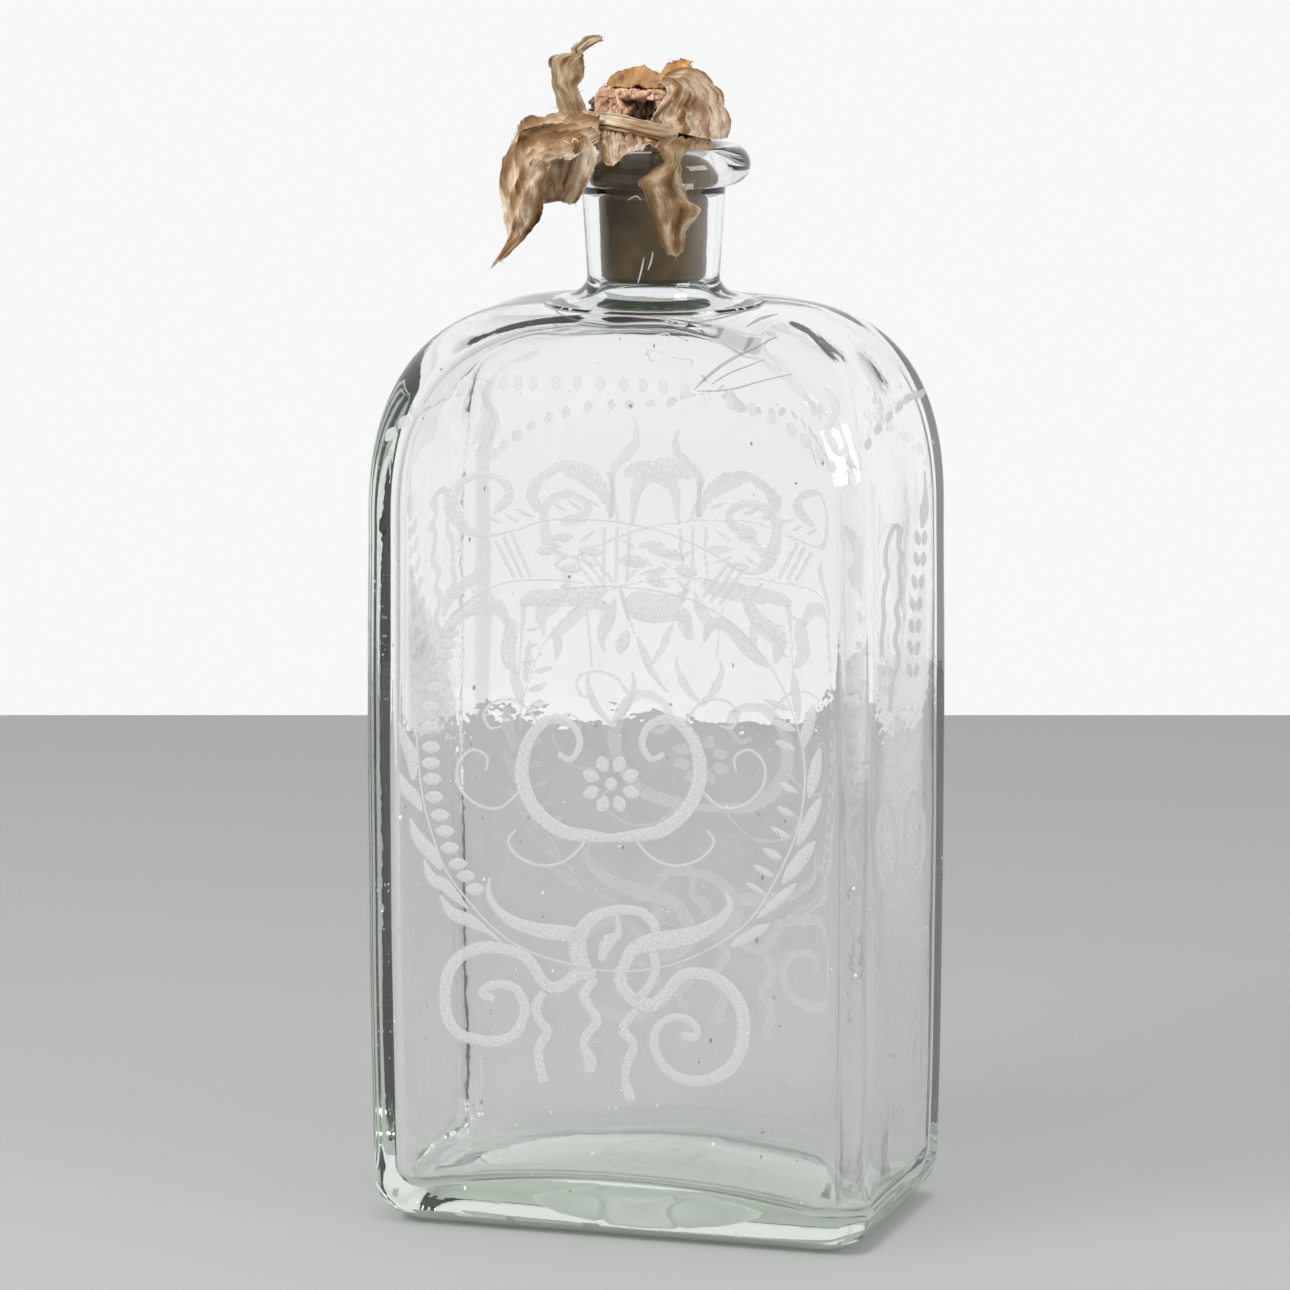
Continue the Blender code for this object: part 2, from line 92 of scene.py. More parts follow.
seat_taper = 0.0020
bore_top_radius = 0.0109
bore_foot_radius = 0.0104
throat_radius = 0.0178
throat_rise = 0.0079
shoulder_wall = 0.0034

# Fineness of the glass's mesh, then the waves on its skins
quarter_steps = 48
side_point_share = 0.45
shoulder_steps = 56
wall_steps = 56
arc_steps = 12
lip_steps = 24
neck_steps = 14
outer_ripple = 0.00010
inner_ripple = 0.00016
ripple_span = 0.016
wave_span = 0.0040
wave_height = 0.00003
outer_ripple_stretch = 0.6
inner_ripple_stretch = 0.5
sharp_glass_deg = 60.0

# Tints of the glass for light that passes straight and inside its depth, then where it is worn or hazy
glass_index = 1.5
glass_colour = (1.0, 1.0, 1.0)
passed_tint = (0.955, 0.965, 0.955)
depth_tint = (0.54, 0.68, 0.53)
depth_density = 8.0
guided_bounces = 7.5
hazy_clearness = 0.98
worn_colour = (0.56, 0.575, 0.55)
worn_roughness = 0.35
worn_clearness = 0.30
worn_rise = 0.0027
worn_fringe = 0.0007
worn_span = 0.0050

# Tool marks on the shoulder: dents as (x, y) pixels with radius and depth, and a row of them as a streak
shoulder_dents = (
    (470, 372, 0.0100, 0.00042), (560, 352, 0.0085, 0.00030), (648, 372, 0.0070, -0.00025),
    (815, 352, 0.0125, 0.00050), (872, 374, 0.0095, 0.00042), (880, 352, 0.0070, -0.00020),
    (610, 334, 0.0045, 0.00025), (765, 418, 0.0060, 0.00030), (430, 410, 0.0060, 0.00030),
)
streak_line = ((700, 395, 0), (726, 376, 0), (754, 352, 0), (795, 327, 0))
streak_dents = 12
streak_dent = (0.0034, 0.00026)

# Cork: the first values as in the CAD model, then its crumbled surface with the seed of its crumbs
fit_clearance = 0.0003
plug_length = 0.0262
plug_chamfer = 0.0012
cork_head_radius = 0.0115
cork_head_height = 0.0113
cork_crown_round = 0.0024
cork_turn_steps = 280
cork_row_step = 0.00028
cave_span = 0.0046
cave_depth = 0.0016
pit_span = 0.0019
crumb_span = 0.0018
crumb_depth = 0.0007
crack_depth = 0.0005
grain_span = 0.00060
grain_depth = 0.00016
plug_score_depth = 0.00012
crumb_start = 4
cave_edges = (0.15, 0.50)
cave_pit_share = 0.45
crumb_warp_share = 0.4
crack_share = 0.16
sharp_cork_deg = 32.0

# Colours of the cork: painted shade by the depth of its pits, its speckles, and its plug
cork_pit_shade_stops = ((0.0, (0.78, 0.56, 0.40)), (0.22, (0.62, 0.39, 0.255)), (0.40, (0.44, 0.25, 0.15)),
                   (0.62, (0.17, 0.086, 0.05)), (1.0, (0.06, 0.03, 0.018)))
cork_spot_stops = ((0.30, (0.55, 0.50, 0.47)), (0.52, (1.0, 1.0, 1.0)), (0.75, (1.25, 1.2, 1.15)))
cork_plug_stops = ((0.30, (0.046, 0.029, 0.010)), (0.70, (0.105, 0.066, 0.026)))

# Membrane: its place on the cork as in the CAD model, then the rolled band, thickness, creases and tears
sheet_seat = 0.0006
cap_bulge = 0.0027
cap_rise = 0.0028
band_radius = 0.0013
band_path_steps = 150
band_round_steps = 44
band_twist = 1.6
band_end_share = 0.35
band_depth_share = 0.85
band_lobe_shares = (0.80, 0.34, 0.16, 0.07)
skin_thickness = 0.00022
fold_span = 0.0034
fold_length = 0.0200
fold_height = 0.00052
cross_span = 0.0052
cross_height = 0.00034
pleat_span = 0.0012
pleat_length = 0.0070
pleat_height = 0.00018
crush_span = 0.0045
crush_height = 0.00012
fine_span = 0.0006
fine_height = 0.00007
crease_heights = (fold_height, cross_height, pleat_height, crush_height, fine_height)
# Painted shade and highlight: how far each crease darkens the valleys and lightens the crests, about a
# middle tone
crease_shade_shares = (0.17, 0.15, 0.10, 0.08, 0.04)
crease_shade_middle = 0.56
tear_depth = 0.0007
jag_span = 0.0008
jag_shares = (0.45, 0.8, 0.5)
jag_fineness = 2.7
streak_span = 0.00035
streak_length = 0.0030

# Nets of (x, y) pixels of the photograph, with a reach towards the camera in lip radii
flap_front_net = (
    ((594, 117, 0.50), (596, 122, 0.60), (598, 128, 0.70), (599, 134, 0.78), (598, 141, 0.84)),
    ((573, 114, 0.34), (576, 122, 0.62), (579, 131, 0.84), (583, 140, 0.98), (586, 150, 1.02)),
    ((548, 117, 0.22), (552, 127, 0.60), (557, 138, 0.92), (562, 148, 1.10), (571, 158, 1.14)),
    ((527, 125, 0.18), (532, 136, 0.60), (538, 146, 0.98), (545, 154, 1.18), (556, 160, 1.14)),
    ((512, 143, 0.20), (519, 150, 0.58), (527, 157, 0.98), (536, 163, 1.22), (546, 167, 1.12)),
    ((503, 168, 0.22), (512, 172, 0.56), (522, 176, 0.90), (532, 180, 1.10), (542, 184, 1.02)),
    ((500, 198, 0.24), (510, 199, 0.52), (520, 200, 0.80), (530, 201, 0.98), (540, 202, 0.86)),
    ((503, 222, 0.26), (511, 223, 0.46), (519, 223, 0.66), (527, 222, 0.78), (536, 219, 0.72)),
    ((505, 240, 0.28), (510, 240, 0.40), (515, 238, 0.50), (522, 235, 0.56), (530, 230, 0.54)),
    ((492, 267, 0.30), (495, 265, 0.34), (499, 262, 0.38), (504, 257, 0.42), (510, 252, 0.42)),
)
flap_back_net = (
    ((548, 150, 1.02), (560, 146, 1.10), (572, 142, 1.10), (583, 138, 1.06), (590, 135, 0.98)),
    ((543, 163, 0.90), (554, 162, 0.84), (567, 160, 0.92), (583, 152, 1.08), (597, 150, 1.06)),
    ((540, 178, 0.74), (551, 180, 0.62), (564, 180, 0.68), (580, 174, 0.96), (595, 167, 1.02)),
    ((539, 192, 0.68), (550, 194, 0.56), (561, 193, 0.62), (573, 190, 0.86), (586, 185, 0.92)),
    ((541, 205, 0.66), (550, 203, 0.58), (560, 201, 0.64), (569, 205, 0.78), (579, 198, 0.84)),
)
tongue_net = (
    ((668, 136, 0.74), (677, 136, 0.76), (686, 138, 0.76), (695, 140, 0.74)),
    ((658, 145, 0.92), (668, 145, 0.98), (679, 147, 0.98), (689, 149, 0.92)),
    ((661, 153, 1.05), (669, 153, 1.10), (677, 154, 1.10), (684, 156, 1.05)),
    ((665, 163, 1.08), (670, 163, 1.14), (676, 164, 1.16), (681, 165, 1.08)),
    ((652, 173, 1.08), (662, 173, 1.16), (672, 174, 1.20), (681, 176, 1.08)),
    ((639, 182, 1.08), (654, 183, 1.20), (669, 184, 1.14), (685, 187, 1.08)),
    ((643, 189, 1.10), (656, 191, 1.22), (671, 193, 1.12), (688, 198, 1.06)),
    ((647, 199, 1.08), (659, 202, 1.20), (675, 204, 1.08), (700, 208, 1.14)),
    ((652, 210, 1.06), (662, 212, 1.16), (676, 214, 1.10), (696, 219, 1.12)),
    ((656, 223, 1.08), (664, 226, 1.14), (674, 228, 1.12), (687, 231, 1.04)),
    ((661, 240, 1.10), (668, 242, 1.14), (675, 243, 1.14), (684, 241, 1.08)),
    ((668, 254, 1.12), (673, 256, 1.14), (678, 256, 1.14), (683, 251, 1.12)),
)
strip_net = (
    ((557, 118, 0.26), (573, 115, 0.35), (591, 118, 0.50)),
    ((559, 112, -0.06), (574, 114, 0.10), (590, 118, 0.14)),
    ((556, 96, -0.10), (567, 95, 0.08), (580, 94, 0.04)),
    ((551, 84, -0.14), (561, 84, 0.10), (577, 86, 0.02)),
    ((552, 75, -0.14), (563, 75, 0.10), (583, 77, 0.02)),
    ((550, 64, -0.12), (561, 65, 0.08), (585, 66, 0.04)),
    ((552, 57, -0.04), (566, 57, 0.10), (584, 57, 0.06)),
    ((571, 54, 0.08), (577, 54, 0.12), (583, 54, 0.10)),
    ((572, 49, 0.10), (579, 49, 0.14), (587, 51, 0.14)),
    ((580, 44, 0.12), (585, 44, 0.18), (591, 47, 0.18)),
    ((586, 37, 0.14), (591, 40, 0.20), (597, 43, 0.20)),
    ((600, 36, 0.16), (602, 38, 0.18), (603, 40, 0.20)),
)
crown_net = (
    ((605, 83, -0.30), (614, 73, -0.40), (624, 68, -0.45), (634, 67, -0.48), (643, 64, -0.50),
     (652, 69, -0.48), (660, 72, -0.44), (668, 64, -0.40), (680, 59, -0.32), (692, 61, -0.24)),
    ((606, 87, -0.12), (616, 82, -0.12), (626, 80, -0.12), (636, 79, -0.12), (645, 79, -0.12),
     (654, 80, -0.12), (661, 81, -0.10), (668, 77, -0.08), (679, 72, -0.06), (691, 71, 0.00)),
    ((608, 88, 0.12), (617, 87, 0.18), (627, 87, 0.22), (637, 87, 0.26), (646, 88, 0.28),
     (655, 88, 0.28), (662, 87, 0.28), (668, 84, 0.26), (677, 79, 0.22), (689, 76, 0.18)),
)
pleats_net = (
    ((597, 130, 0.56), (607, 131, 0.64), (617, 133, 0.68), (630, 135, 0.71), (642, 137, 0.72),
     (655, 139, 0.72), (668, 138, 0.70)),
    ((596, 140, 0.74), (606, 141, 0.80), (616, 141, 0.82), (630, 141, 0.82), (643, 142, 0.80),
     (656, 142, 0.78), (669, 140, 0.76)),
    ((599, 152, 0.90), (608, 153, 0.96), (617, 151, 0.96), (629, 146, 0.86), (642, 145, 0.84),
     (655, 144, 0.82), (669, 142, 0.80)),
    ((603, 162, 0.96), (611, 166, 1.00), (619, 161, 0.99), (628, 150, 0.92), (640, 148, 0.88),
     (654, 146, 0.86), (669, 143, 0.82)),
)
band_line = (
    (584, 113, 0.34), (598, 119, 0.52), (612, 121, 0.64), (628, 124, 0.71), (643, 128, 0.74),
    (656, 131, 0.74), (668, 133, 0.73), (677, 134, 0.71),
)

# Fibres that curl out of the torn edges
fibre_start = 11
fibre_count = 110
fibre_least = 0.0005
fibre_most = 0.0024
fibre_radius = 0.00007
fibre_sides = 5
fibre_steps = 9
fibre_curl_deg = (8.0, 34.0)
torn_share = 0.5

# Net of the cap: turn about the neck in degrees, with the CAD's shares out from and up the cork
cap_shares = (
    ((-60, 0.30, 1.10), (-60, 0.80, 1.13), (-60, 1.03, 0.92), (-69, 1.08, 0.64), (-75, 1.18, 0.45),
     (-66, 1.26, 0.31)),
    ((-40, 0.25, 1.15), (-40, 0.78, 1.30), (-42, 1.05, 0.91), (-48, 1.20, 0.66), (-50, 1.42, 0.44),
     (-50, 1.50, 0.24)),
    ((-25, 0.20, 1.15), (-25, 0.70, 1.55), (-25, 1.06, 0.90), (-25, 1.50, 0.62), (-25, 1.80, 0.36),
     (-25, 1.75, 0.12)),
    ((17, 0.20, 1.30), (17, 0.62, 1.90), (17, 1.04, 0.86), (17, 1.45, 0.56), (17, 1.90, 0.26),
     (17, 1.75, 0.05)),
    ((62, 0.30, 1.20), (62, 0.72, 1.35), (62, 1.06, 0.88), (62, 1.30, 0.58), (62, 1.75, 0.24),
     (62, 1.60, 0.04)),
    ((107, 0.88, 1.06), (107, 0.96, 1.03), (107, 1.06, 0.86), (107, 1.15, 0.56), (107, 1.50, 0.24),
     (107, 1.55, 0.04)),
    ((150, 1.04, 0.80), (150, 1.06, 0.71), (150, 1.10, 0.60), (150, 1.15, 0.44), (150, 1.32, 0.24),
     (150, 1.45, 0.08)),
    ((186, 1.05, 0.68), (186, 1.08, 0.62), (186, 1.12, 0.56), (186, 1.15, 0.50), (186, 1.20, 0.42),
     (186, 1.25, 0.34)),
)

# Each rag cut flat: its width and length
cap_flat = (0.080, 0.036)
crown_flat = (0.024, 0.014)
band_flat = (0.030, 0.012)
pleats_flat = (0.030, 0.012)
flap_front_flat = (0.020, 0.056)
flap_back_flat = (0.018, 0.018)
tongue_flat = (0.013, 0.034)
strip_flat = (0.012, 0.024)

# How the wheel-cut ornament lies on the glass, and the grain of the frosted panels
stroke_steps = 5
stroke_columns = 4
cut_edge_lift = 0.00002
cut_crown_lift = 0.00008
cut_search = 0.0100
back_drop_share = 0.06
frost_grain = 0.0007

# Ranges, here and below: the value at both ends, then what it is turned into there
frost_side_range = (0.55, 1.0, 1.0, 0.0)
frost_length_range = (4.0, 9.3, 0.62, 0.0)
frost_grain_range = (0.3, 0.7, 0.55, 1.0)

# Ground glass on the near faces, a paler copy with painted light on the far ones, and the cords
mark_scale = (2.0, 60.0, 1.0)
mark_dark_share = 0.30
mark_pale_share = 0.70
ground_dark = (0.42, 0.42, 0.415)
ground_pale = (0.72, 0.72, 0.71)
ground_alpha = 0.85
# Painted light: the far faces are paler than the near ones, since less light reaches them through the glass
behind_brightened_dark = (0.56, 0.55, 0.55)
behind_brightened_pale = (0.90, 0.885, 0.88)
behind_alpha = 0.50
cord_dark = (0.10, 0.11, 0.13)
cord_pale = (0.24, 0.26, 0.30)
cord_alpha = 0.50

# Seeds in the glass, and a dark stone at (x, y) pixels with its reach in lip radii
seed_start = 5
seed_count = 900
seed_least = 0.00007
seed_most = 0.00032
seed_dark = (0.30, 0.30, 0.29)
seed_pale = (0.92, 0.92, 0.90)
stone_place = (381.5, 526, 1.0)
stone_radius = 0.0010
stone_length_share = 2.2
stone_colour = (0.02, 0.02, 0.018)

# Colours of the membrane, from painted shade in its valleys to painted highlight on its crests, with its
# stains that are partly painted fold shade, torn edges and glow
skin_shade_stops = ((0.0, (0.09, 0.037, 0.011)), (0.38, (0.38, 0.22, 0.105)), (0.58, (0.72, 0.55, 0.37)),
              (0.88, (0.95, 0.87, 0.73)))
skin_stain_and_shade = (0.34, 0.19, 0.09)
skin_edge = (0.93, 0.84, 0.69)
skin_glow = (1.0, 0.80, 0.55)
skin_roughness = 0.62
thin_shade_stops = ((0.0, (0.07, 0.030, 0.009)), (0.38, (0.25, 0.14, 0.060)), (0.58, (0.46, 0.33, 0.19)),
              (0.88, (0.68, 0.57, 0.42)))
thin_stain_and_shade = (0.24, 0.13, 0.055)
thin_edge = (0.60, 0.50, 0.37)
amber_shade_stops = ((0.0, (0.15, 0.05, 0.012)), (0.30, (0.42, 0.17, 0.04)), (0.55, (0.68, 0.36, 0.10)),
               (1.0, (0.86, 0.60, 0.28)))
amber_stain_and_shade = (0.36, 0.13, 0.035)
amber_edge = (0.38, 0.15, 0.045)
amber_glow = (1.0, 0.62, 0.25)
amber_roughness = 0.38
streak_stops = ((0.30, (0.55, 0.46, 0.38)), (0.50, (0.95, 0.93, 0.90)), (0.72, (1.35, 1.36, 1.36)))
streak_share = 0.55
# Stains, partly painted fold shade: the noise range they cover and how strongly
stain_and_shade_range = (0.47, 0.66, 0.0, 0.72)
frayed_share = 0.55
glow_share = 0.30
membrane_shine = 0.3

# Room: the floor, then the walls as light bent by the glass meets them
floor_reach = 0.547
floor_power = 8.0
floor_steps = 360
floor_colour = (0.44, 0.44, 0.435)
room_colour = (0.93, 0.935, 0.94)
fill_strength = 0.70
gap_count = 8
gap_phase_deg = -260.0
gap_range = (0.84, 1.0, 1.0, 0.85)
ceiling_range = (0.25, 0.75, 1.0, 0.65)
front_range = (-0.60, 0.30, 0.20, 1.0)
through_depth = 5

# Lamps: name, place, size and power, and whether the glass mirrors them
lamps = (
    ("key_lamp", (-0.55, -0.75, 0.75), 0.5, 10.0, False),
    ("side_lamp", (0.85, -0.30, 0.45), 0.4, 4.0, True),
)

# Strokes of the wheel-cut ornament, as (x, y, width) pixels
crown_strokes = (
    ((493, 513, 5), (501, 506, 9), (508, 499, 10), (509, 489, 9), (503, 481, 8), (492, 476, 7),
     (480, 475, 7), (468, 479, 8), (458, 486, 10), (452, 497, 13), (452, 509, 15), (458, 521, 14),
     (468, 530, 11), (480, 534, 7), (491, 535, 4), (515, 530, 2.5), (535, 523, 2), (552, 519.5, 2),
     (575, 519, 2), (600, 520, 2), (620, 522, 2), (640, 526, 2), (660, 530.5, 2), (680, 538, 2),
     (700, 547, 2), (720, 558, 2), (738, 569, 2.5), (752, 573, 5), (764, 567, 11), (772, 555, 14),
     (776, 540, 12), (777, 525, 10), (771, 513, 10), (760, 506, 9), (745, 504, 9), (732, 509, 8),
     (729, 518, 8), (735, 527, 11), (747, 532, 12), (757, 535, 7)),
    ((546, 513, 4), (537, 506, 10), (532, 495, 12), (536, 484, 12), (547, 474, 10), (561, 466, 11),
     (575, 470, 18), (590, 478, 20), (602, 491, 14), (609, 505, 8), (611, 518, 5)),
    ((632, 525, 4), (634, 507, 7), (638, 487, 13), (650, 474, 19), (667, 468, 22), (682, 470, 18),
     (692, 478, 7)),
    ((634, 417, 2), (637, 430, 5), (635, 444, 10), (626, 455, 12), (617, 463, 9), (613, 474, 6),
     (613, 495, 4), (616, 510, 4), (619, 522, 3)),
    ((608, 471, 5), (612, 485, 5), (612, 502, 5), (611, 517, 4)),
    ((496, 541, 4), (515, 578, 4)),
    ((504, 537, 4), (523, 578, 4)),
    ((512, 534, 4), (531, 577, 4)),
    ((604.5, 527, 3.5), (603.5, 580, 2.5)),
    ((617, 527, 3.5), (616, 583, 3)),
    ((630, 530, 4), (627, 583, 3)),
    ((729, 562, 4), (703, 597, 4)),
    ((735, 566, 4), (711, 601, 4)),
    ((741, 571, 4), (720, 605, 4)),
    ((479, 550, 2), (484, 563, 8), (476, 577, 12), (460, 587, 14), (448, 599, 12), (443, 616, 5)),
    ((763, 583, 2), (748, 599, 9), (754, 615, 14), (767, 629, 18), (779, 641, 17), (775, 664, 4)),
    ((704, 642, 3), (709, 629, 9), (721, 623, 12), (736, 634, 14), (751, 652, 14), (768, 667, 4)),
)
ring_stroke = (
    (567, 588, 2.5), (590, 586.5, 2), (612, 586, 2), (635, 588, 2), (655, 590.5, 2), (672, 594, 2),
    (690, 599, 2), (705, 606, 2), (720, 615, 2), (738, 629, 2), (754, 645, 2), (768, 663, 2),
    (778, 679, 2), (787, 698, 2), (797, 726, 2), (803, 753, 2.5), (805, 776, 2.5), (803, 803, 2.5),
    (798, 829, 2.5), (787, 857, 2.5), (772, 887, 2.5), (751, 919, 2.5), (719, 944, 2), (675, 964, 2),
    (637, 971, 2), (598, 970, 2), (546, 958, 2), (513, 943, 2), (488, 923, 2), (470, 903, 2),
    (448, 874, 2), (436, 846, 2), (423, 799, 2), (417, 741, 2), (417, 713, 2), (423, 685, 2),
    (435, 646, 2), (447, 622, 2), (460, 608, 2), (475, 596, 2), (490, 588, 2), (507, 582, 2),
    (525, 580, 2), (545, 579.5, 2), (565, 580.5, 2), (584, 583, 2),
)
drapery_strokes = (
    ((450, 632, 5), (455, 619, 12), (468, 610, 14), (482, 605, 16), (496, 606, 16), (504, 616, 10),
     (507, 627, 3)),
    ((521, 606, 5), (529, 599, 15), (550, 598, 18), (575, 597, 18), (595, 594, 15), (607, 588, 6)),
    ((524, 604, 7), (523, 620, 5), (521, 645, 2), (519, 675, 2)),
    ((512, 618, 6), (511, 632, 14), (508, 648, 15), (510, 663, 13), (517, 674, 3)),
    ((620, 588, 2), (625, 602, 7), (632, 611, 12), (645, 614, 16), (660, 615, 16), (676, 613, 16),
     (686, 618, 12), (689, 629, 7), (687, 640, 2)),
    ((614, 597, 2), (613, 608, 8), (608, 620, 14), (603, 632, 12), (602, 643, 6), (605, 652, 2)),
    ((637, 636, 2), (643, 650, 7), (650, 668, 8), (658, 680, 5), (668, 692, 2)),
    ((621, 590, 2), (625, 606, 2), (630, 620, 2), (635, 634, 2)),
    ((587, 612, 2), (590, 640, 2), (592, 668, 2)),
    ((552, 628, 2), (557, 634, 8), (558, 648, 8), (556, 660, 2)),
)
knot_strokes = (
    ((490, 877, 2), (488.5, 893, 6), (496, 908, 8), (512, 921, 11), (537, 929.5, 14),
     (562, 933, 16), (580, 935, 14)),
    ((725, 893, 3), (730, 906, 8), (719, 921, 12), (698, 933, 16), (675, 938.5, 18),
     (652, 942, 18), (634, 949, 14), (625, 963, 12), (620, 979, 12), (627, 993, 12),
     (640, 1003, 13), (655, 1004, 13), (667, 993, 12), (679, 978, 12), (694, 973, 12),
     (713, 977, 12), (732, 992, 13), (743, 1015, 13), (742, 1045, 13), (732, 1066, 13),
     (713, 1078, 12), (694, 1081, 11), (675, 1076, 10), (660, 1061, 9), (654, 1042, 8.5),
     (658, 1027, 8), (671, 1018, 8), (686, 1019, 8), (697, 1029, 8), (693, 1037, 9), (682, 1035, 7)),
    ((585, 971, 14), (578, 952, 18), (580, 934, 15), (594, 917, 12), (617, 910, 10), (640, 912, 10),
     (653, 923, 10), (657, 936, 8)),
    ((617, 915, 3), (618, 934, 8), (607, 943, 14), (601, 961, 5)),
    ((654, 953, 9), (655, 973, 9), (645, 992, 9), (634, 999, 6)),
    ((596, 975, 9), (579, 974, 12), (563, 985, 12), (551, 987, 11), (541, 979, 11), (532, 964, 11),
     (521, 954, 11), (499, 948, 11), (479, 948, 12), (460, 957, 12), (448, 974, 12), (445, 999, 11),
     (448, 1019, 11), (460, 1034, 11), (479, 1040, 11), (499, 1041, 11), (514, 1035, 11),
     (523, 1019, 10), (524, 1004, 10), (516, 989, 9), (501, 984, 9), (488, 987, 9), (482, 994, 8),
     (494, 999, 8)),
    ((544, 992, 7), (536, 1006, 10), (539, 1019, 9), (547, 1032, 10), (539, 1047, 9), (539, 1060, 9),
     (544, 1082, 10)),
    ((596, 978, 8), (584, 994, 10), (589, 1007, 9), (597, 1021, 10), (587, 1035, 9), (584, 1047, 8),
     (590, 1060, 13), (589, 1072, 9)),
    ((637, 1010, 7), (623, 1028, 10), (634, 1045, 9), (628, 1061, 9), (625, 1078, 7),
     (629, 1094, 11), (630, 1101, 7)),
)
curl_strokes = (
    ((399, 722, 2), (404, 738, 9), (412, 757, 13), (413, 780, 4)),
    ((400, 773, 2), (405, 787, 11), (413, 796, 13), (422, 811, 3)),
    ((410, 818, 2), (417, 836, 11), (429, 851, 14), (441, 869, 4)),
    ((424, 859, 2), (431, 877, 10), (446, 887, 13), (468, 909, 2)),
    ((440, 895, 2), (451, 912, 11), (470, 921, 13), (487, 931, 5), (503, 944, 2)),
)

# Spray of volutes in the middle of the ring, drawn on the left and mirrored about its middle
spray_middle_px = 611
spray_strokes = (
    ((611, 838, 8), (590, 836, 12), (560, 830, 14), (534, 808, 14), (522, 776, 14), (528, 742, 12),
     (548, 720, 10), (571, 724, 8), (580, 743, 7), (571, 759, 6), (558, 754, 5)),
    ((521, 790, 3), (500, 808, 3), (476, 804, 3), (459, 786, 3), (458, 764, 3), (472, 750, 3),
     (487, 757, 3), (486, 771, 2)),
    ((538, 722, 3), (520, 702, 3), (498, 700, 3), (484, 713, 3), (490, 728, 3), (502, 726, 2)),
    ((590, 836, 3), (570, 858, 3), (545, 866, 3), (520, 858, 3), (508, 842, 3), (516, 830, 2)),
    ((611, 724, 3), (596, 706, 8), (588, 684, 5), (590, 672, 2)),
)
spray_petals = 8
spray_heart_px = (611, 784)
spray_petal_px = (13, 30, 13)

# Single cuts: (x, y, length, width) in pixels and the tilt in degrees
crown_cuts = (
    (563, 537, 20, 10, -2), (546, 550, 20, 11, -5), (591, 551, 25, 11, 8), (572, 568, 22, 11, 0),
    (560, 560, 18, 3, -40), (587, 536, 18, 4, -38), (587, 562, 19, 4, 25), (555, 544, 15, 5, 30),
    (663, 552, 30, 9, 8), (688, 553, 16, 4, -35), (636, 563, 22, 10, 5), (646, 572, 14, 3, -22),
    (657, 582, 24, 10, 22), (686, 571, 24, 13, 15), (684, 586, 18, 5, 42), (648, 562, 12, 4, 45),
    (494, 519, 17, 4, 32), (512, 518, 16, 4, 28), (525, 513, 22, 4, 22), (559, 506, 19, 4, 30),
    (575, 505, 18, 4, 32), (592, 502, 19, 4, 28), (623, 642, 25, 14, -68), (532, 629, 13, 4, -8),
    (532, 645, 13, 4, -18), (529, 661, 11, 5, -12),
)
# Leaves of the laurel: base and tip, then the width
laurel_leaves = (
    (799, 721, 793, 670, 9), (802, 750, 814, 704, 12), (809, 799, 820, 748, 12), (797, 846, 821, 797, 12),
    (782, 884, 815, 841, 14), (757, 919, 797, 883, 10), (730, 947, 770, 924, 11), (790, 710, 763, 699, 7),
    (796, 731, 771, 720, 8), (795, 750, 775, 741, 8), (798, 793, 779, 783, 7), (794, 816, 777, 807, 7),
    (791, 839, 771, 827, 6), (782, 859, 763, 849, 8), (774, 877, 753, 865, 7), (765, 894, 746, 883, 6),
)
bead_px = (19, 12)
bead_places = (
    (450, 633), (447, 644), (444, 655), (440, 669), (435, 688), (431, 707), (430, 727), (431, 747),
    (431, 763), (432, 779), (434, 797), (440, 815), (445, 831), (450, 848), (458, 864), (466, 876),
    (475, 889),
)
# Garland round the shoulder: the middle of each oval and its tilt in degrees
garland_px = (16, 10)
garland_places = (
    (391, 434, -60), (404, 422, -55), (418, 410, -50), (434, 400, -62), (448, 392, -70), (462, 387, -80),
    (482, 385, -80), (503, 383, -85), (518, 383, -90), (533, 383, -90), (556, 383, -90), (577, 383, -90),
    (600, 383, -90), (623, 384, -95), (643, 385, -95), (663, 386, -95), (685, 391, -100),
    (706, 397, -100), (730, 402, -100), (752, 409, -105), (772, 417, -105), (791, 429, -110),
    (806, 441, -115), (820, 454, -120), (831, 466, -120),
)
shoulder_strokes = (
    ((624, 342, 1.5), (628, 335, 1.5), (650, 336, 1.5), (669, 334, 1.5), (666, 346, 1.5)),
    ((848, 454, 1.5), (852, 463, 4), (857, 470, 1.5)),
    ((638, 283, 1), (641, 272, 1.8), (644, 258, 1)), ((648, 270, 1), (651, 262, 1.6), (653, 252, 1)),
    ((628, 200, 1), (636, 196, 1.6), (641, 200, 1)),
)
# Cords: dark threads of other glass in the shoulder
cord_strokes = (
    ((694, 390, 1), (706, 378, 3), (721, 366, 3.5), (738, 356, 3), (757, 347, 2), (776, 337, 1)),
    ((697, 391, 1), (716, 391, 1.6), (737, 388, 2), (762, 381, 1.6), (792, 374, 1)),
    ((712, 384, 1), (728, 374, 2), (748, 366, 1.6), (764, 360, 1)),
    ((568, 333.5, 1), (580, 333.5, 2.4), (597, 334.5, 1)), ((746, 327, 1), (760, 319, 3.4), (778, 314, 1)),
    ((552, 304, 1), (560, 314, 2), (584, 322, 2), (620, 326, 2), (662, 326, 2), (706, 321, 2),
     (742, 312, 2), (768, 300, 1)),
)
tassel_strokes = (
    ((824, 388, 4), (834, 400, 8), (836, 413, 8), (829, 424, 8), (828, 434, 8), (834, 446, 9),
     (839, 456, 3)),
    ((482, 408, 3), (486, 416, 7), (480, 426, 7), (478, 434, 7), (473, 444, 3)),
)

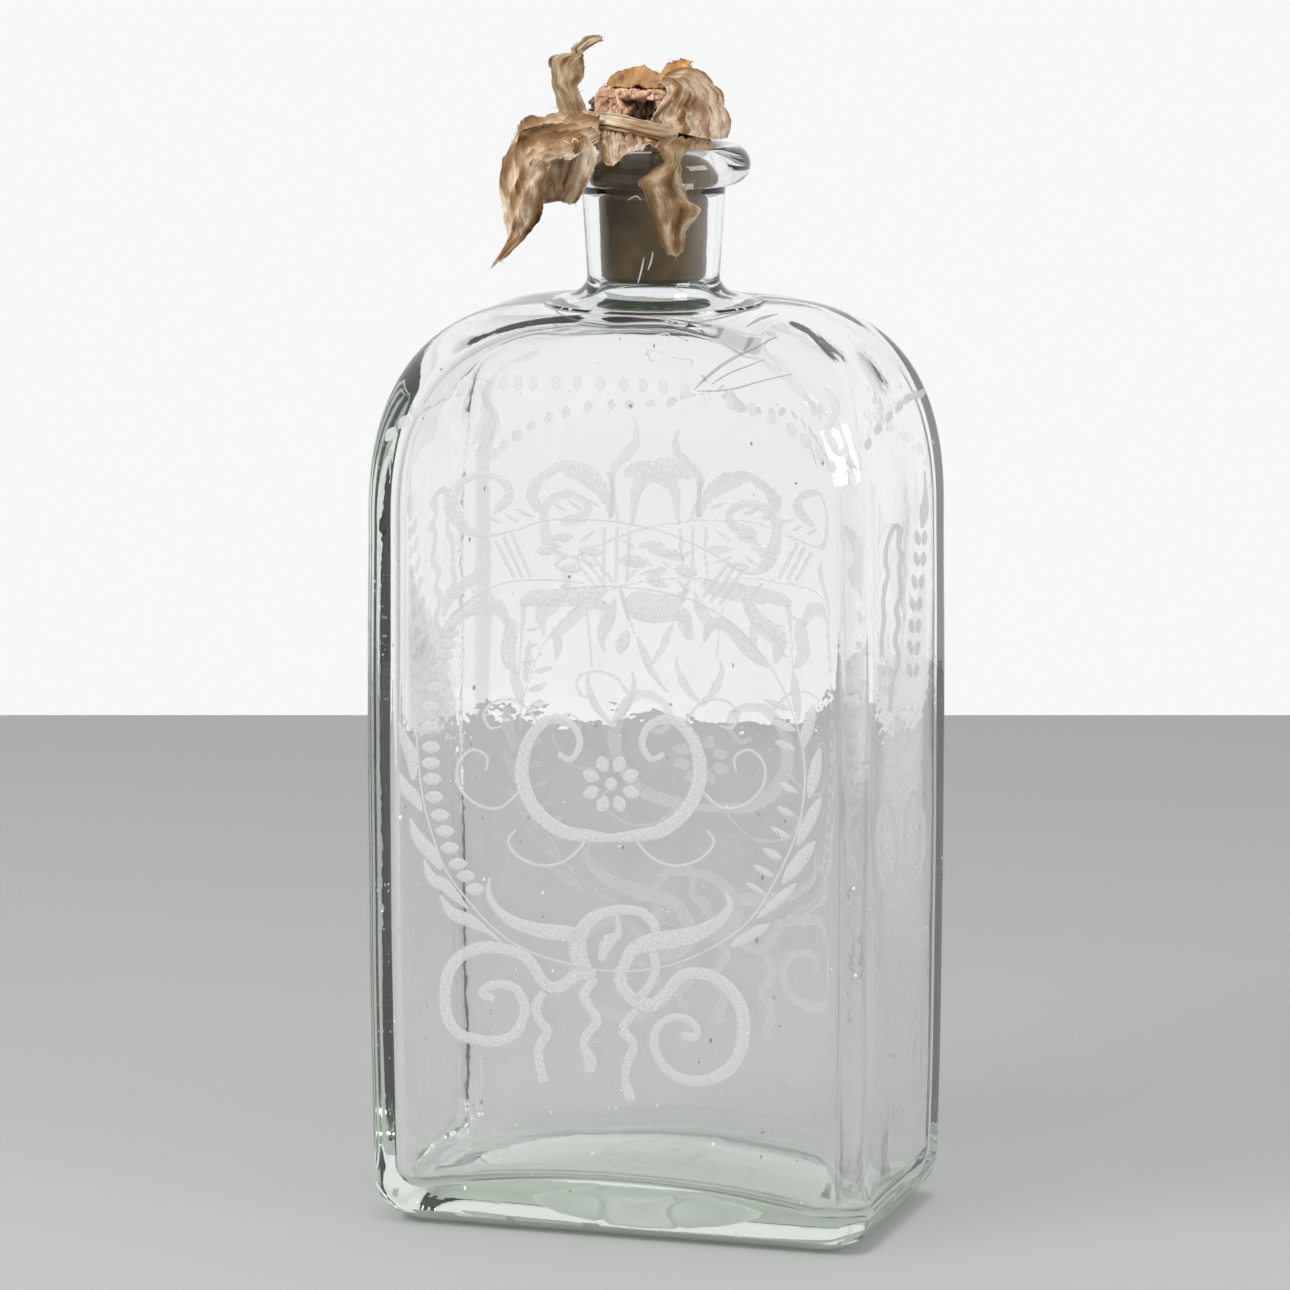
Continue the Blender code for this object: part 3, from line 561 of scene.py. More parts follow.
# On the right side: two ribbons, a chain of leaf pairs, and the garland's end
side_strokes = (
    ((924.5, 471, 2), (925.5, 492, 4), (924, 512, 9), (922, 528, 3)),
    ((895, 524, 5), (888, 540, 4), (885.5, 561, 5), (888, 574, 4), (885, 586, 5), (883, 602, 4),
     (884, 619, 5), (882, 636, 4), (882, 657, 5)),
    ((895, 524, 5), (900, 531, 7), (898, 546, 4), (902, 556, 6), (899, 567, 4), (900.5, 584, 5),
     (901, 596, 4), (896, 609, 5), (898.5, 623, 5), (895, 639, 5), (898, 653, 5), (897, 666, 4),
     (892, 684, 5), (890, 712, 4)),
    ((886, 798, 4), (879, 820, 5), (878, 850, 5), (883, 880, 5), (889, 896, 4), (895, 878, 5),
     (897, 850, 5), (894, 820, 5), (886, 798, 4)),
    ((913, 790, 4), (906, 815, 5), (905, 850, 5), (911, 885, 5), (918, 880, 4), (923, 850, 5),
     (922, 815, 5), (913, 790, 4)),
)
frost_stroke = (
    (924, 569, 3), (921, 600, 12), (916, 640, 26), (908, 690, 42), (903, 740, 50), (901, 800, 53),
    (901, 900, 51), (902, 1000, 45), (903, 1060, 38),
)
side_pair_px = (3, 15, 6)
side_pair_places = ((922, 538), (921, 559), (919, 582), (917, 604), (916, 626), (915, 648), (914, 670))
side_garland_px = (13, 7)
side_garland_places = (
    (868, 444, -75), (878, 429, -70), (889, 417, -65), (899, 407, -62), (907, 399, -60), (914, 395, -55),
    (921, 394, -50),
)

# Heights that follow from the sizes above
shoulder_top = glass_height - neck_length
shoulder_start = shoulder_top - shoulder_rise
neck_foot_height = shoulder_top + flare_rise
lip_centre_height = glass_height - lip_round
inner_shoulder_top = shoulder_top - shoulder_wall
bore_foot_height = inner_shoulder_top + throat_rise
seat_height = glass_height - seat_drop
cork_foot_height = glass_height - plug_length
cork_top_height = glass_height + cork_head_height


def mix(a, b, share):
    """The value this share of the way from a to b."""
    return a + (b - a) * share


def eased(low, high, value):
    """0 below low, 1 above high and a smooth step between."""
    share = min(max((value - low) / (high - low), 0.0), 1.0)
    return share * share * (3 - 2 * share)


# Materials


def material_with_nodes(name):
    """A new material and its Principled shader."""
    material = bpy.data.materials.new(name)
    material.use_nodes = True
    return material, material.node_tree, material.node_tree.nodes["Principled BSDF"]


def add_node(tree, kind, **settings):
    """A new node with these settings."""
    node = tree.nodes.new(kind)
    for name, value in settings.items():
        setattr(node, name, value)
    return node


def feed(node, values):
    """Gives inputs, by name or number, a link where the value is a socket, or else the fixed value."""
    for key, value in values.items():
        if isinstance(value, bpy.types.NodeSocket):
            node.id_data.links.new(value, node.inputs[key])
        else:
            node.inputs[key].default_value = value


def set_inputs(node, **values):
    """Feeds a node's inputs by name, with spaces written as underscores."""
    feed(node, {name.replace("_", " "): value for name, value in values.items()})


def add_attribute(tree, name):
    """A float that the mesh holds at each point."""
    return add_node(tree, "ShaderNodeAttribute", attribute_name=name).outputs["Fac"]


def add_split(tree, vector):
    """The X, Y and Z of a vector."""
    node = add_node(tree, "ShaderNodeSeparateXYZ")
    set_inputs(node, Vector=vector)
    return node.outputs


def add_math(tree, operation, *values):
    """The result of this operation on the values."""
    node = add_node(tree, "ShaderNodeMath", operation=operation)
    feed(node, dict(enumerate(values)))
    return node.outputs[0]


def add_range(tree, value, ends, kind="SMOOTHSTEP"):
    """The value carried from the first two ends to the last two."""
    node = add_node(tree, "ShaderNodeMapRange", interpolation_type=kind)
    feed(node, dict(enumerate((value, *ends))))
    return node.outputs["Result"]


def add_level(tree, share, first, second):
    """The number this share of the way from the first to the second."""
    node = add_node(tree, "ShaderNodeMix", data_type="FLOAT")
    feed(node, {0: share, 2: first, 3: second})
    return node.outputs[0]


def add_mix(tree, blend, share, first, second):
    """The blend of two colours by a share."""
    node = add_node(tree, "ShaderNodeMix", data_type="RGBA", blend_type=blend)
    feed(node, {0: share, 6: first, 7: second})
    return node.outputs[2]


def add_ramp(tree, value, stops):
    """The colour at a value between these (place, colour) stops."""
    ramp = add_node(tree, "ShaderNodeValToRGB")
    elements = ramp.color_ramp.elements
    while len(elements) < len(stops):
        elements.new(0.5)
    for element, (place, colour) in zip(elements, stops):
        element.position = place
        element.color = (*colour, 1.0)
    set_inputs(ramp, Fac=value)
    return ramp.outputs["Color"]


def add_noise(tree, vector, scale, detail):
    """Noise over this vector."""
    texture = add_node(tree, "ShaderNodeTexNoise")
    set_inputs(texture, Vector=vector, Scale=scale, Detail=detail)
    return texture.outputs["Fac"]


def add_bump(surface, height, strength, distance):
    """Bumps a surface by a height."""
    bump = add_node(surface.id_data, "ShaderNodeBump")
    set_inputs(bump, Height=height, Strength=strength, Distance=distance)
    set_inputs(surface, Normal=bump.outputs["Normal"])


def mix_shaders(tree, share, first, second):
    """Shows this share of the second shader over the first, and returns the output node."""
    both = add_node(tree, "ShaderNodeMixShader")
    feed(both, {0: share, 1: first.outputs[0], 2: second.outputs[0]})
    output = tree.nodes["Material Output"]
    set_inputs(output, Surface=both.outputs["Shader"])
    return output


def plain_material(name, colour, roughness):
    """One even colour, for specks too small to show more."""
    material, tree, surface = material_with_nodes(name)
    set_inputs(surface, Base_Color=(*colour, 1.0), Roughness=roughness)
    return material


def make_glass_material(name, colour, roughness, clearness):
    """Clear, faintly green blown glass. Lamplight reaches the cork inside it, and light that has run
    round inside the walls for long gets out, as it does from old glass with its seeds and scratches."""
    material, tree, glass = material_with_nodes(name)
    set_inputs(glass, Base_Color=(*colour, 1.0), Roughness=roughness, IOR=glass_index)
    set_inputs(glass, Transmission_Weight=clearness)
    place = add_node(tree, "ShaderNodeTexCoord").outputs
    add_bump(glass, add_noise(tree, place["Object"], 1 / wave_span, 2.0), 1.0, wave_height)
    clear = add_node(tree, "ShaderNodeBsdfTransparent")
    set_inputs(clear, Color=(*passed_tint, 1.0))
    path = add_node(tree, "ShaderNodeLightPath").outputs
    unseen = add_math(tree, "MAXIMUM", path["Is Shadow Ray"], path["Is Diffuse Ray"])
    spent = add_math(tree, "GREATER_THAN", path["Ray Depth"], guided_bounces)
    output = mix_shaders(tree, add_math(tree, "MAXIMUM", unseen, spent), glass, clear)
    tint = add_node(tree, "ShaderNodeVolumeAbsorption")
    set_inputs(tint, Color=(*depth_tint, 1.0), Density=depth_density)
    set_inputs(output, Volume=tint.outputs["Volume"])
    return material


# The glass


def section(half_x, half_y, radius, height, centre_x=0.0):
    """One level ring of the loft: a rectangle with round corners, or a circle where they meet."""
    r = min(radius, half_x, half_y)
    flat_x, flat_y = half_x - r, half_y - r
    arc = r * math.pi / 2
    total = side_point_share * (flat_x + flat_y) + arc
    quarter = []
    for step in range(quarter_steps + 1):
        along = total * step / quarter_steps
        beyond = along - side_point_share * flat_y - arc
        angle = min(max(along - side_point_share * flat_y, 0.0), arc) / r
        x = flat_x + r * math.cos(angle) - max(beyond, 0.0) / side_point_share
        y = flat_y + r * math.sin(angle) - max(flat_y - along / side_point_share, 0.0)
        quarter.append((x, y))
    back = quarter[:0:-1]
    ring = quarter[:-1] + [(-x, y) for x, y in back]
    ring += [(-x, -y) for x, y in quarter[:-1]] + [(x, -y) for x, y in back]
    return [Vector((centre_x + x, y, height)) for x, y in ring]


def circle(radius, height):
    """A round ring of the loft on the neck's axis."""
    return section(radius, radius, radius, height, neck_offset)


def half_sides(height):
    """Half the outside width and depth at a height: the walls draw in a little from the belly."""
    inset = wall_bow * ((height - belly_height) / belly_height) ** 2
    return body_width / 2 - inset, body_depth / 2 - inset


def domed(ring, half_x, half_y, edge, rise, side_share):
    """Lifts a ring onto a dome that is highest in the middle and lowest in the corners."""
    for point in ring:
        u = min(abs(point.x) / half_x, 1.0)
        v = min(abs(point.y) / half_y, 1.0)
        point.z = edge + rise * (1 - u * u) * (1 - (1 - side_share) * v * v)
    return ring


def underside_rings():
    """From the pontil mark in the middle of the kick out to the flat land of the foot."""
    half_x, half_y = half_sides(heel_radius)
    foot_x, foot_y = half_x - heel_radius, half_y - heel_radius
    kick_x, kick_y = foot_x - foot_land, foot_y - foot_land
    rings = []
    mark_shares = ((0.02, 0.0), (0.20, 0.1), (0.45, 0.2), (0.66, 0.0), (0.74, 0.3), (0.80, 1.0),
                   (0.88, 1.15), (0.94, 0.9), (1.0, 0.0))
    for radius_share, drop_share in mark_shares:
        radius = pontil_radius * radius_share
        ring = domed(section(radius, radius, radius, 0.0), kick_x, kick_y, 0.0, kick_rise, 0.0)
        for point in ring:
            point.z -= pontil_depth * drop_share
        rings.append(ring)
    steps = 2 * arc_steps
    for step in range(1, steps + 1):
        share = step / steps
        half = mix(pontil_radius, kick_x, share), mix(pontil_radius, kick_y, share)
        radius = mix(pontil_radius, foot_edge_radius, share)
        rings.append(domed(section(*half, radius, 0.0), kick_x, kick_y, 0.0, kick_rise, 0.0))
    rings.append(section(foot_x, foot_y, foot_edge_radius, 0.0))
    return rings


def shoulder_rings(foot_x, foot_y, foot_radius, top_radius, rise, shares):
    """Rings along a superellipse from the walls, at share 0, up to the neck's foot, at share 1."""
    rings = []
    for share in shares:
        angle = share * math.pi / 2
        out = max(math.cos(angle), 0.0) ** (2 / shoulder_power)
        up = math.sin(angle) ** (2 / shoulder_power)
        half_x, half_y = mix(top_radius, foot_x, out), mix(top_radius, foot_y, out)
        radius = mix(top_radius, foot_radius, out)
        height = shoulder_start + rise * up
        rings.append(section(half_x, half_y, radius, height, neck_offset * (1 - out)))
    return rings


def outside_rings():
    """Up the outside: heel, wall, shoulder, flare, neck and lip."""
    rings = []
    for step in range(1, arc_steps + 1):
        angle = step / arc_steps * math.pi / 2
        height = heel_radius * (1 - math.cos(angle))
        inset = heel_radius * (1 - math.sin(angle))
        half_x, half_y = half_sides(height)
        radius = mix(foot_edge_radius, edge_radius, step / arc_steps)
        rings.append(section(half_x - inset, half_y - inset, radius, height))
    for step in range(1, wall_steps + 1):
        height = mix(heel_radius, shoulder_start, step / wall_steps)
        rings.append(section(*half_sides(height), edge_radius, height))
    shares = [step / shoulder_steps for step in range(1, shoulder_steps + 1)]
    rise = shoulder_rise - flare_foot_drop
    rings += shoulder_rings(*half_sides(shoulder_start), edge_radius, flare_radius, rise, shares)
    for step in range(arc_steps + 1):
        angle = (1 - step / arc_steps) * math.pi / 2
        radius = flare_radius - (flare_radius - neck_foot_radius) * math.cos(angle)
        rings.append(circle(radius, neck_foot_height - flare_rise * math.sin(angle)))
    neck_top_height = lip_centre_height - lip_round
    for step in range(1, neck_steps + 1):
        share = step / neck_steps
        rings.append(circle(mix(neck_foot_radius, neck_top_radius, share),
                            mix(neck_foot_height, neck_top_height, share)))
    lip_start_deg, lip_end_deg = -80.0, 90.0
    for step in range(lip_steps + 1):
        angle = math.radians(mix(lip_start_deg, lip_end_deg, step / lip_steps))
        radius = lip_radius - lip_round + lip_round * math.cos(angle)
        rings.append(circle(radius, lip_centre_height + lip_round * math.sin(angle)))
    return rings


def inside_rings():
    """Down the inside: mouth, bore, throat, shoulder, wall and floor."""
    rings = []
    for step in range(arc_steps):
        angle = math.pi / 2 * (1 + step / (arc_steps - 1))
        radius = mouth_radius + mouth_round * (1 + math.cos(angle))
        rings.append(circle(radius, glass_height - mouth_round * (1 - math.sin(angle))))
    rings.append(circle(mouth_radius, seat_height))
    rings.append(circle(bore_top_radius, seat_height - seat_taper))
    for step in range(1, neck_steps):
        share = step / neck_steps
        rings.append(circle(mix(bore_top_radius, bore_foot_radius, share),
                            mix(seat_height - seat_taper, bore_foot_height, share)))
    for step in range(arc_steps + 1):
        angle = step / arc_steps * math.pi / 2
        radius = throat_radius - (throat_radius - bore_foot_radius) * math.cos(angle)
        rings.append(circle(radius, bore_foot_height - throat_rise * math.sin(angle)))
    top_x, top_y = (half - wall for half in half_sides(shoulder_start))
    shares = [1 - step / shoulder_steps for step in range(1, shoulder_steps + 1)]
    rise = inner_shoulder_top - shoulder_start
    rings += shoulder_rings(top_x, top_y, inner_edge_radius, throat_radius, rise, shares)
    wall_foot = floor_edge + inner_heel_radius
    for step in range(1, wall_steps + 1):
        height = mix(shoulder_start, wall_foot, step / wall_steps)
        half_x, half_y = half_sides(height)
        rings.append(section(half_x - wall, half_y - wall, inner_edge_radius, height))
    half_x, half_y = (half - wall for half in half_sides(wall_foot))
    for step in range(1, arc_steps + 1):
        angle = step / arc_steps * math.pi / 2
        inset = inner_heel_radius * (1 - math.cos(angle))
        ring = section(half_x - inset, half_y - inset, inner_edge_radius, 0.0)
        domed(ring, half_x, half_y, floor_edge, floor_rise, floor_side_share)
        for point in ring:
            point.z += inner_heel_radius * (1 - math.sin(angle))
        rings.append(ring)
    floor_x, floor_y = half_x - inner_heel_radius, half_y - inner_heel_radius
    steps = 2 * arc_steps
    for step in range(1, steps + 1):
        share = 1 - step / (steps + 1)
        ring = section(floor_x * share, floor_y * share, inner_edge_radius, 0.0)
        rings.append(domed(ring, half_x, half_y, floor_edge, floor_rise, floor_side_share))
    return rings


def join_rows(bm, first, second, closed=False, kept=None):
    """Faces between two rows of points, or only those that have one of the kept points."""
    count = len(first)
    for i in range(count if closed else count - 1):
        j = (i + 1) % count
        corners = (first[i], first[j], second[j], second[i])
        if kept is None or not kept.isdisjoint(corners):
            bm.faces.new(corners)


def lay_uvs(bm, places):
    """Gives the faces' corners at each point its place in the UV map."""
    uv_layer = bm.loops.layers.uv["UVMap"]
    for vert, place in places.items():
        for loop in vert.link_loops:
            loop[uv_layer].uv = place


def skin_rows(bm, rows):
    """A closed skin over rows of equally many points, capped at both ends."""
    for low, high in zip(rows, rows[1:]):
        join_rows(bm, low, high, closed=True)
    bm.faces.new(reversed(rows[0]))
    bm.faces.new(rows[-1])


def object_from(name, bm, material):
    """Turns a bmesh into a smooth object in the scene."""
    mesh = bpy.data.meshes.new(name)
    bm.to_mesh(mesh)
    bm.free()
    mesh.materials.append(material)
    mesh.shade_smooth()
    obj = bpy.data.objects.new(name, mesh)
    bpy.context.scene.collection.objects.link(obj)
    return obj


def press_dents(outer_verts, glass_tree):
    """The shallow hollows and the drawn streak that the tools left on the shoulders."""
    line = [Vector(point) for point in streak_line]
    dents = list(shoulder_dents)
    for step in range(streak_dents):
        point = curve_point(line, (len(line) - 1) * step / (streak_dents - 1))
        dents.append((point.x, point.y, *streak_dent))
    start = camera_place()
    for x, y, radius, depth in dents:
        place, normal, index, distance = glass_tree.ray_cast(start, seen_at(x, y, 0.0) - start)
        for half_turn in (1, -1):
            spot = Vector((place.x * half_turn, place.y * half_turn, place.z))
            out = Vector((normal.x * half_turn, normal.y * half_turn, normal.z))
            for vert in outer_verts:
                share = (vert.co - spot).length_squared / (radius * radius)
                if share < 1:
                    vert.co -= out * depth * (1 - share) ** 2


def make_glass(clear_material, worn_material, hazy_material):
    """The bottle, with the slight waves of blown glass on both its skins and a worn underside."""
    under = underside_rings()
    outer, inner = under + outside_rings(), inside_rings()
    under_count = len(under) * len(under[0])
    bm = bmesh.new()
    skin_rows(bm, [[bm.verts.new(point) for point in ring] for ring in outer + inner])
    bmesh.ops.recalc_face_normals(bm, faces=bm.faces)
    bm.normal_update()
    outer_count = len(outer) * len(outer[0])
    bm.verts.index_update()
    press_dents([vert for vert in bm.verts if vert.index < outer_count], BVHTree.FromBMesh(bm))
    for face in bm.faces:
        middle = face.calc_center_median()
        worn_height = worn_rise + worn_fringe * noise.noise(middle / worn_span)
        last = max(vert.index for vert in face.verts)
        if last < under_count or (last < outer_count and middle.z < worn_height):
            face.material_index = 1
        elif middle.z < shoulder_top:
            face.material_index = 2
    for number, vert in enumerate(bm.verts):
        if vert.co.z < heel_radius / 2:
            continue
        spot = vert.co / ripple_span
        if number < outer_count:
            move = outer_ripple * noise.noise(Vector((spot.x, spot.y, spot.z * outer_ripple_stretch)))
        else:
            spot = Vector((spot.x + 7.0, spot.y, spot.z * inner_ripple_stretch))
            move = inner_ripple * noise.noise(spot)
        vert.co += vert.normal * move
    obj = object_from("bottle_glass", bm, clear_material)
    obj.data.materials.append(worn_material)
    obj.data.materials.append(hazy_material)
    obj.data.set_sharp_from_angle(angle=math.radians(sharp_glass_deg))
    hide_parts("glass_bottle")
    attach(obj, "bottle")
    return obj


# The wheel-cut ornament


def lens_stroke(x1, y1, x2, y2, width):
    """A cut that swells from a point at one end to its width in the middle and back."""
    shares = ((0.0, 0.12), (0.12, 0.55), (0.3, 0.9), (0.5, 1.0), (0.7, 0.9), (0.88, 0.55), (1.0, 0.12))
    return [(mix(x1, x2, along), mix(y1, y2, along), width * swell) for along, swell in shares]


def tilted_cut(x, y, length, width, tilt_deg):
    """A single cut through its middle: tilted down to the right when the tilt is positive."""
    tilt = math.radians(tilt_deg)
    dx, dy = length / 2 * math.cos(tilt), length / 2 * math.sin(tilt)
    return lens_stroke(x - dx, y - dy, x + dx, y + dy, width)


def spray():
    """The volutes and the flower in the middle of the ring."""
    mirrored = [[(2 * spray_middle_px - x, y, width) for x, y, width in stroke] for stroke in spray_strokes]
    strokes = [*spray_strokes, *mirrored]
    heart_x, heart_y = spray_heart_px
    inner, outer, width = spray_petal_px
    for petal in range(spray_petals):
        angle = 2 * math.pi * (petal + 0.5) / spray_petals
        out = (math.cos(angle), math.sin(angle))
        strokes.append(lens_stroke(heart_x + inner * out[0], heart_y + inner * out[1],
                                   heart_x + outer * out[0], heart_y + outer * out[1], width))
    strokes.append(lens_stroke(heart_x - inner / 2, heart_y, heart_x + inner / 2, heart_y, inner))
    return strokes


def front_strokes():
    """Every stroke on the broad front face and the shoulder above it."""
    strokes = [*crown_strokes, ring_stroke, *drapery_strokes, *knot_strokes, *curl_strokes]
    strokes += spray()
    strokes += [tilted_cut(*cut) for cut in crown_cuts]
    strokes += [lens_stroke(*leaf) for leaf in laurel_leaves]
    strokes += [tilted_cut(x, y, *bead_px, 0.0) for x, y in bead_places]
    strokes += [tilted_cut(x, y, *garland_px, tilt) for x, y, tilt in garland_places]
    strokes += [*shoulder_strokes, *tassel_strokes]
    return strokes


def right_strokes():
    """Every stroke on the narrow right face."""
    strokes = list(side_strokes)
    reach, length, width = side_pair_px
    for x, y in side_pair_places:
        strokes.append(lens_stroke(x - reach, y + length / 2, x - 2 * reach, y - length / 2, width))
        strokes.append(lens_stroke(x + reach / 2, y + length / 2, x + reach, y - length / 2, width))
    strokes += [tilted_cut(x, y, *side_garland_px, tilt) for x, y, tilt in side_garland_places]
    return strokes


def stroke_frames(stroke):
    """Finely spaced (x, y, width, sideways x, sideways y) along a stroke of pixel points."""
    points = [Vector(point) for point in stroke]
    steps = stroke_steps * (len(points) - 1)
    line = [curve_point(points, (len(points) - 1) * step / steps) for step in range(steps + 1)]
    frames = []
    for i, point in enumerate(line):
        ahead = line[min(i + 1, steps)] - line[max(i - 1, 0)]
        size = math.hypot(ahead.x, ahead.y) or 1.0
        frames.append((point.x, point.y, max(point.z, 1.0), -ahead.y / size, ahead.x / size))
    return frames


def engraved_rows(glass_tree, strokes):
    """Rows of (point, normal, across share) on the glass, one list of rows for each stroke."""
    start = camera_place()
    laid = []
    for stroke in strokes:
        rows = []
        for x, y, width, side_x, side_y in stroke_frames(stroke):
            row = []
            for column in range(stroke_columns + 1):
                across = 2 * column / stroke_columns - 1
                ray = pixel_ray(x + side_x * across * width / 2, y + side_y * across * width / 2)
                place, normal, index, distance = glass_tree.ray_cast(start, ray)
                row.append((place, normal, across))
            if all(place for place, normal, across in row):
                rows.append(row)
        laid.append(rows)
    return laid


def turned_to_back(glass_tree, laid, drop_share):
    """The same rows on the opposite face: turned half round, drawn lower and laid on the glass again."""
    turned = []
    for rows in laid:
        new_rows = []
        for row in rows:
            new_row = []
            for place, normal, across in row:
                out = Vector((-normal.x, -normal.y, normal.z))
                spot = Vector((-place.x, -place.y, place.z * (1 - drop_share))) + out * cut_search
                hit, hit_normal, index, distance = glass_tree.ray_cast(spot, -out)
                new_row.append((hit, hit_normal, across))
            if all(hit for hit, hit_normal, across in new_row):
                new_rows.append(new_row)
        turned.append(new_rows)
    return turned


def engraving(name, laid, material):
    """The strokes as thin ground facets that swell along their middles."""
    bm = bmesh.new()
    bm.loops.layers.uv.new("UVMap")
    places = {}
    for rows in laid:
        lines = []
        along = 0.0
        for number, row in enumerate(rows):
            if number:
                along += (row[0][0] - rows[number - 1][0][0]).length
            line = []
            for place, normal, across in row:
                lift = mix(cut_crown_lift, cut_edge_lift, across * across)
                line.append(bm.verts.new(place + normal * lift))
                places[line[-1]] = (across, along / cut_search)
            lines.append(line)
        for low, high in zip(lines, lines[1:]):
            join_rows(bm, low, high)
    lay_uvs(bm, places)
    ornament = object_from(name, bm, material)
    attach(ornament, "bottle")
    return ornament


def make_engravings(glass, ground, ground_behind_brightened, frost, cord):
    """The ornament on the four faces. The back and the left repeat the front and the right, in a paler copy
    of the ground glass with painted light.
    """
    glass_tree = BVHTree.FromObject(glass, bpy.context.evaluated_depsgraph_get())
    front = engraved_rows(glass_tree, front_strokes())
    right = engraved_rows(glass_tree, right_strokes())
    panel = engraved_rows(glass_tree, [frost_stroke])
    engraving("engraving_front", front, ground)
    engraving("engraving_right", right, ground)
    engraving("frost_right", panel, frost)
    engraving("glass_cords", engraved_rows(glass_tree, cord_strokes), cord)
    engraving("engraving_back", turned_to_back(glass_tree, front, back_drop_share), ground_behind_brightened)
    engraving("engraving_left", turned_to_back(glass_tree, right, 0.0), ground_behind_brightened)
    engraving("frost_left", turned_to_back(glass_tree, panel, 0.0), frost)


def make_ground_material(name, dark, pale, alpha):
    """Wheel-ground glass: matt, pale and half clear, with fine marks across each stroke."""
    material, tree, surface = material_with_nodes(name)
    place = add_node(tree, "ShaderNodeTexCoord").outputs
    stretch = add_node(tree, "ShaderNodeMapping")
    set_inputs(stretch, Vector=place["UV"], Scale=mark_scale)
    marks = add_noise(tree, stretch.outputs["Vector"], 1.0, 4.0)
    shades = add_ramp(tree, marks, ((mark_dark_share, dark), (mark_pale_share, pale)))
    add_bump(surface, marks, 0.8, cut_crown_lift)
    set_inputs(surface, Base_Color=shades, Roughness=0.55, Alpha=alpha)
    return material


def make_frost_material():
    """A faint, grainy bloom that thins out towards its sides and its lower end."""
    material, tree, surface = material_with_nodes("frosted_bloom")
    place = add_node(tree, "ShaderNodeTexCoord").outputs
    split = add_split(tree, place["UV"])
    inside = add_range(tree, add_math(tree, "ABSOLUTE", split["X"]), frost_side_range)
    upper = add_range(tree, split["Y"], frost_length_range)
    grain = add_noise(tree, place["Object"], 1 / frost_grain, 3.0)
    grains = add_range(tree, grain, frost_grain_range, "LINEAR")
    alpha = add_math(tree, "MULTIPLY", add_math(tree, "MULTIPLY", inside, upper), grains)
    add_bump(surface, grain, 0.8, cut_crown_lift)
    set_inputs(surface, Base_Color=(*ground_pale, 1.0), Roughness=0.7, Alpha=alpha)
    return material


def add_ball(bm, place, normal, radius, length_share):
    """A small ball drawn out upwards, half as thick through the wall as it is wide."""
    ball = bmesh.ops.create_icosphere(bm, subdivisions=1, radius=radius)
    for vert in ball["verts"]:
        depth = vert.co.dot(normal)
        vert.co -= normal * depth / 2
        vert.co.z *= length_share
        vert.co += place


def make_seeds(glass):
    """Seeds in the metal: specks scattered through the walls, and one dark stone near the left edge."""
    glass_tree = BVHTree.FromObject(glass, bpy.context.evaluated_depsgraph_get())
    chance = random.Random(seed_start)
    dark_seeds, pale_seeds = bmesh.new(), bmesh.new()
    for seed in range(seed_count):
        turn = chance.uniform(0, 2 * math.pi)
        height = chance.uniform(heel_radius, shoulder_top)
        aim = Vector((math.cos(turn), math.sin(turn), 0.0))
        side = Vector((-aim.y, aim.x, 0.0)) * chance.uniform(-body_width / 2, body_width / 2)
        start = side + aim * body_width + Vector((0.0, 0.0, height))
        place, normal, index, distance = glass_tree.ray_cast(start, -aim)
        if place is None:
            continue
        depth = chance.uniform(0.25, 0.85) * wall
        radius = mix(seed_least, seed_most, chance.random() ** 4)
        bm = chance.choice((dark_seeds, pale_seeds))
        add_ball(bm, place - normal * depth, normal, radius, chance.uniform(1.0, 2.2))
    dark_specks = object_from("seeds_dark", dark_seeds, plain_material("dark_specks", seed_dark, 0.6))
    pale_specks = object_from("seeds_pale", pale_seeds, plain_material("pale_specks", seed_pale, 0.6))
    stone = bmesh.new()
    start = camera_place()
    place, normal, index, distance = glass_tree.ray_cast(start, seen_at(*stone_place) - start)
    add_ball(stone, place - normal * wall / 2, normal, stone_radius, stone_length_share)
    dark = object_from("glass_stone", stone, plain_material("stone_speck", stone_colour, 0.4))
    for piece in (dark_specks, pale_specks, dark):
        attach(piece, "bottle")


# The cork


def resampled(points, step):
    """The same open line of (radius, height) points, with more points about this far apart."""
    line = []
    for (r1, z1), (r2, z2) in zip(points, points[1:]):
        count = max(1, round(math.hypot(r2 - r1, z2 - z1) / step))
        line += [(mix(r1, r2, i / count), mix(z1, z2, i / count)) for i in range(count)]
    return line + [points[-1]]


def bore_radius(height):
    """The radius of the neck's bore at a height below the seat."""
    share = (height - bore_foot_height) / (seat_height - seat_taper - bore_foot_height)
    return mix(bore_foot_radius, bore_top_radius, share)


def cork_profile():
    """Half the cork's outline, from beside the middle of its crown down to its foot."""
    foot_radius = bore_radius(cork_foot_height) - fit_clearance
    seat_radius = mouth_radius - fit_clearance
    crown_base = cork_top_height - cork_crown_round
    profile = [(cork_row_step, cork_top_height)]
    for step in range(arc_steps):
        angle = (1 - step / (arc_steps - 1)) * math.pi / 2
        radius = cork_head_radius - cork_crown_round * (1 - math.cos(angle))
        profile.append((radius, crown_base + cork_crown_round * math.sin(angle)))
    profile += [
        (cork_head_radius, glass_height + fit_clearance),
        (seat_radius, glass_height - mouth_round),
        (seat_radius, seat_height + fit_clearance),
        (bore_top_radius - fit_clearance, seat_height - seat_taper + fit_clearance),
        (foot_radius, cork_foot_height + plug_chamfer),
        (foot_radius - plug_chamfer, cork_foot_height),
        (cork_row_step, cork_foot_height),
    ]
    return profile


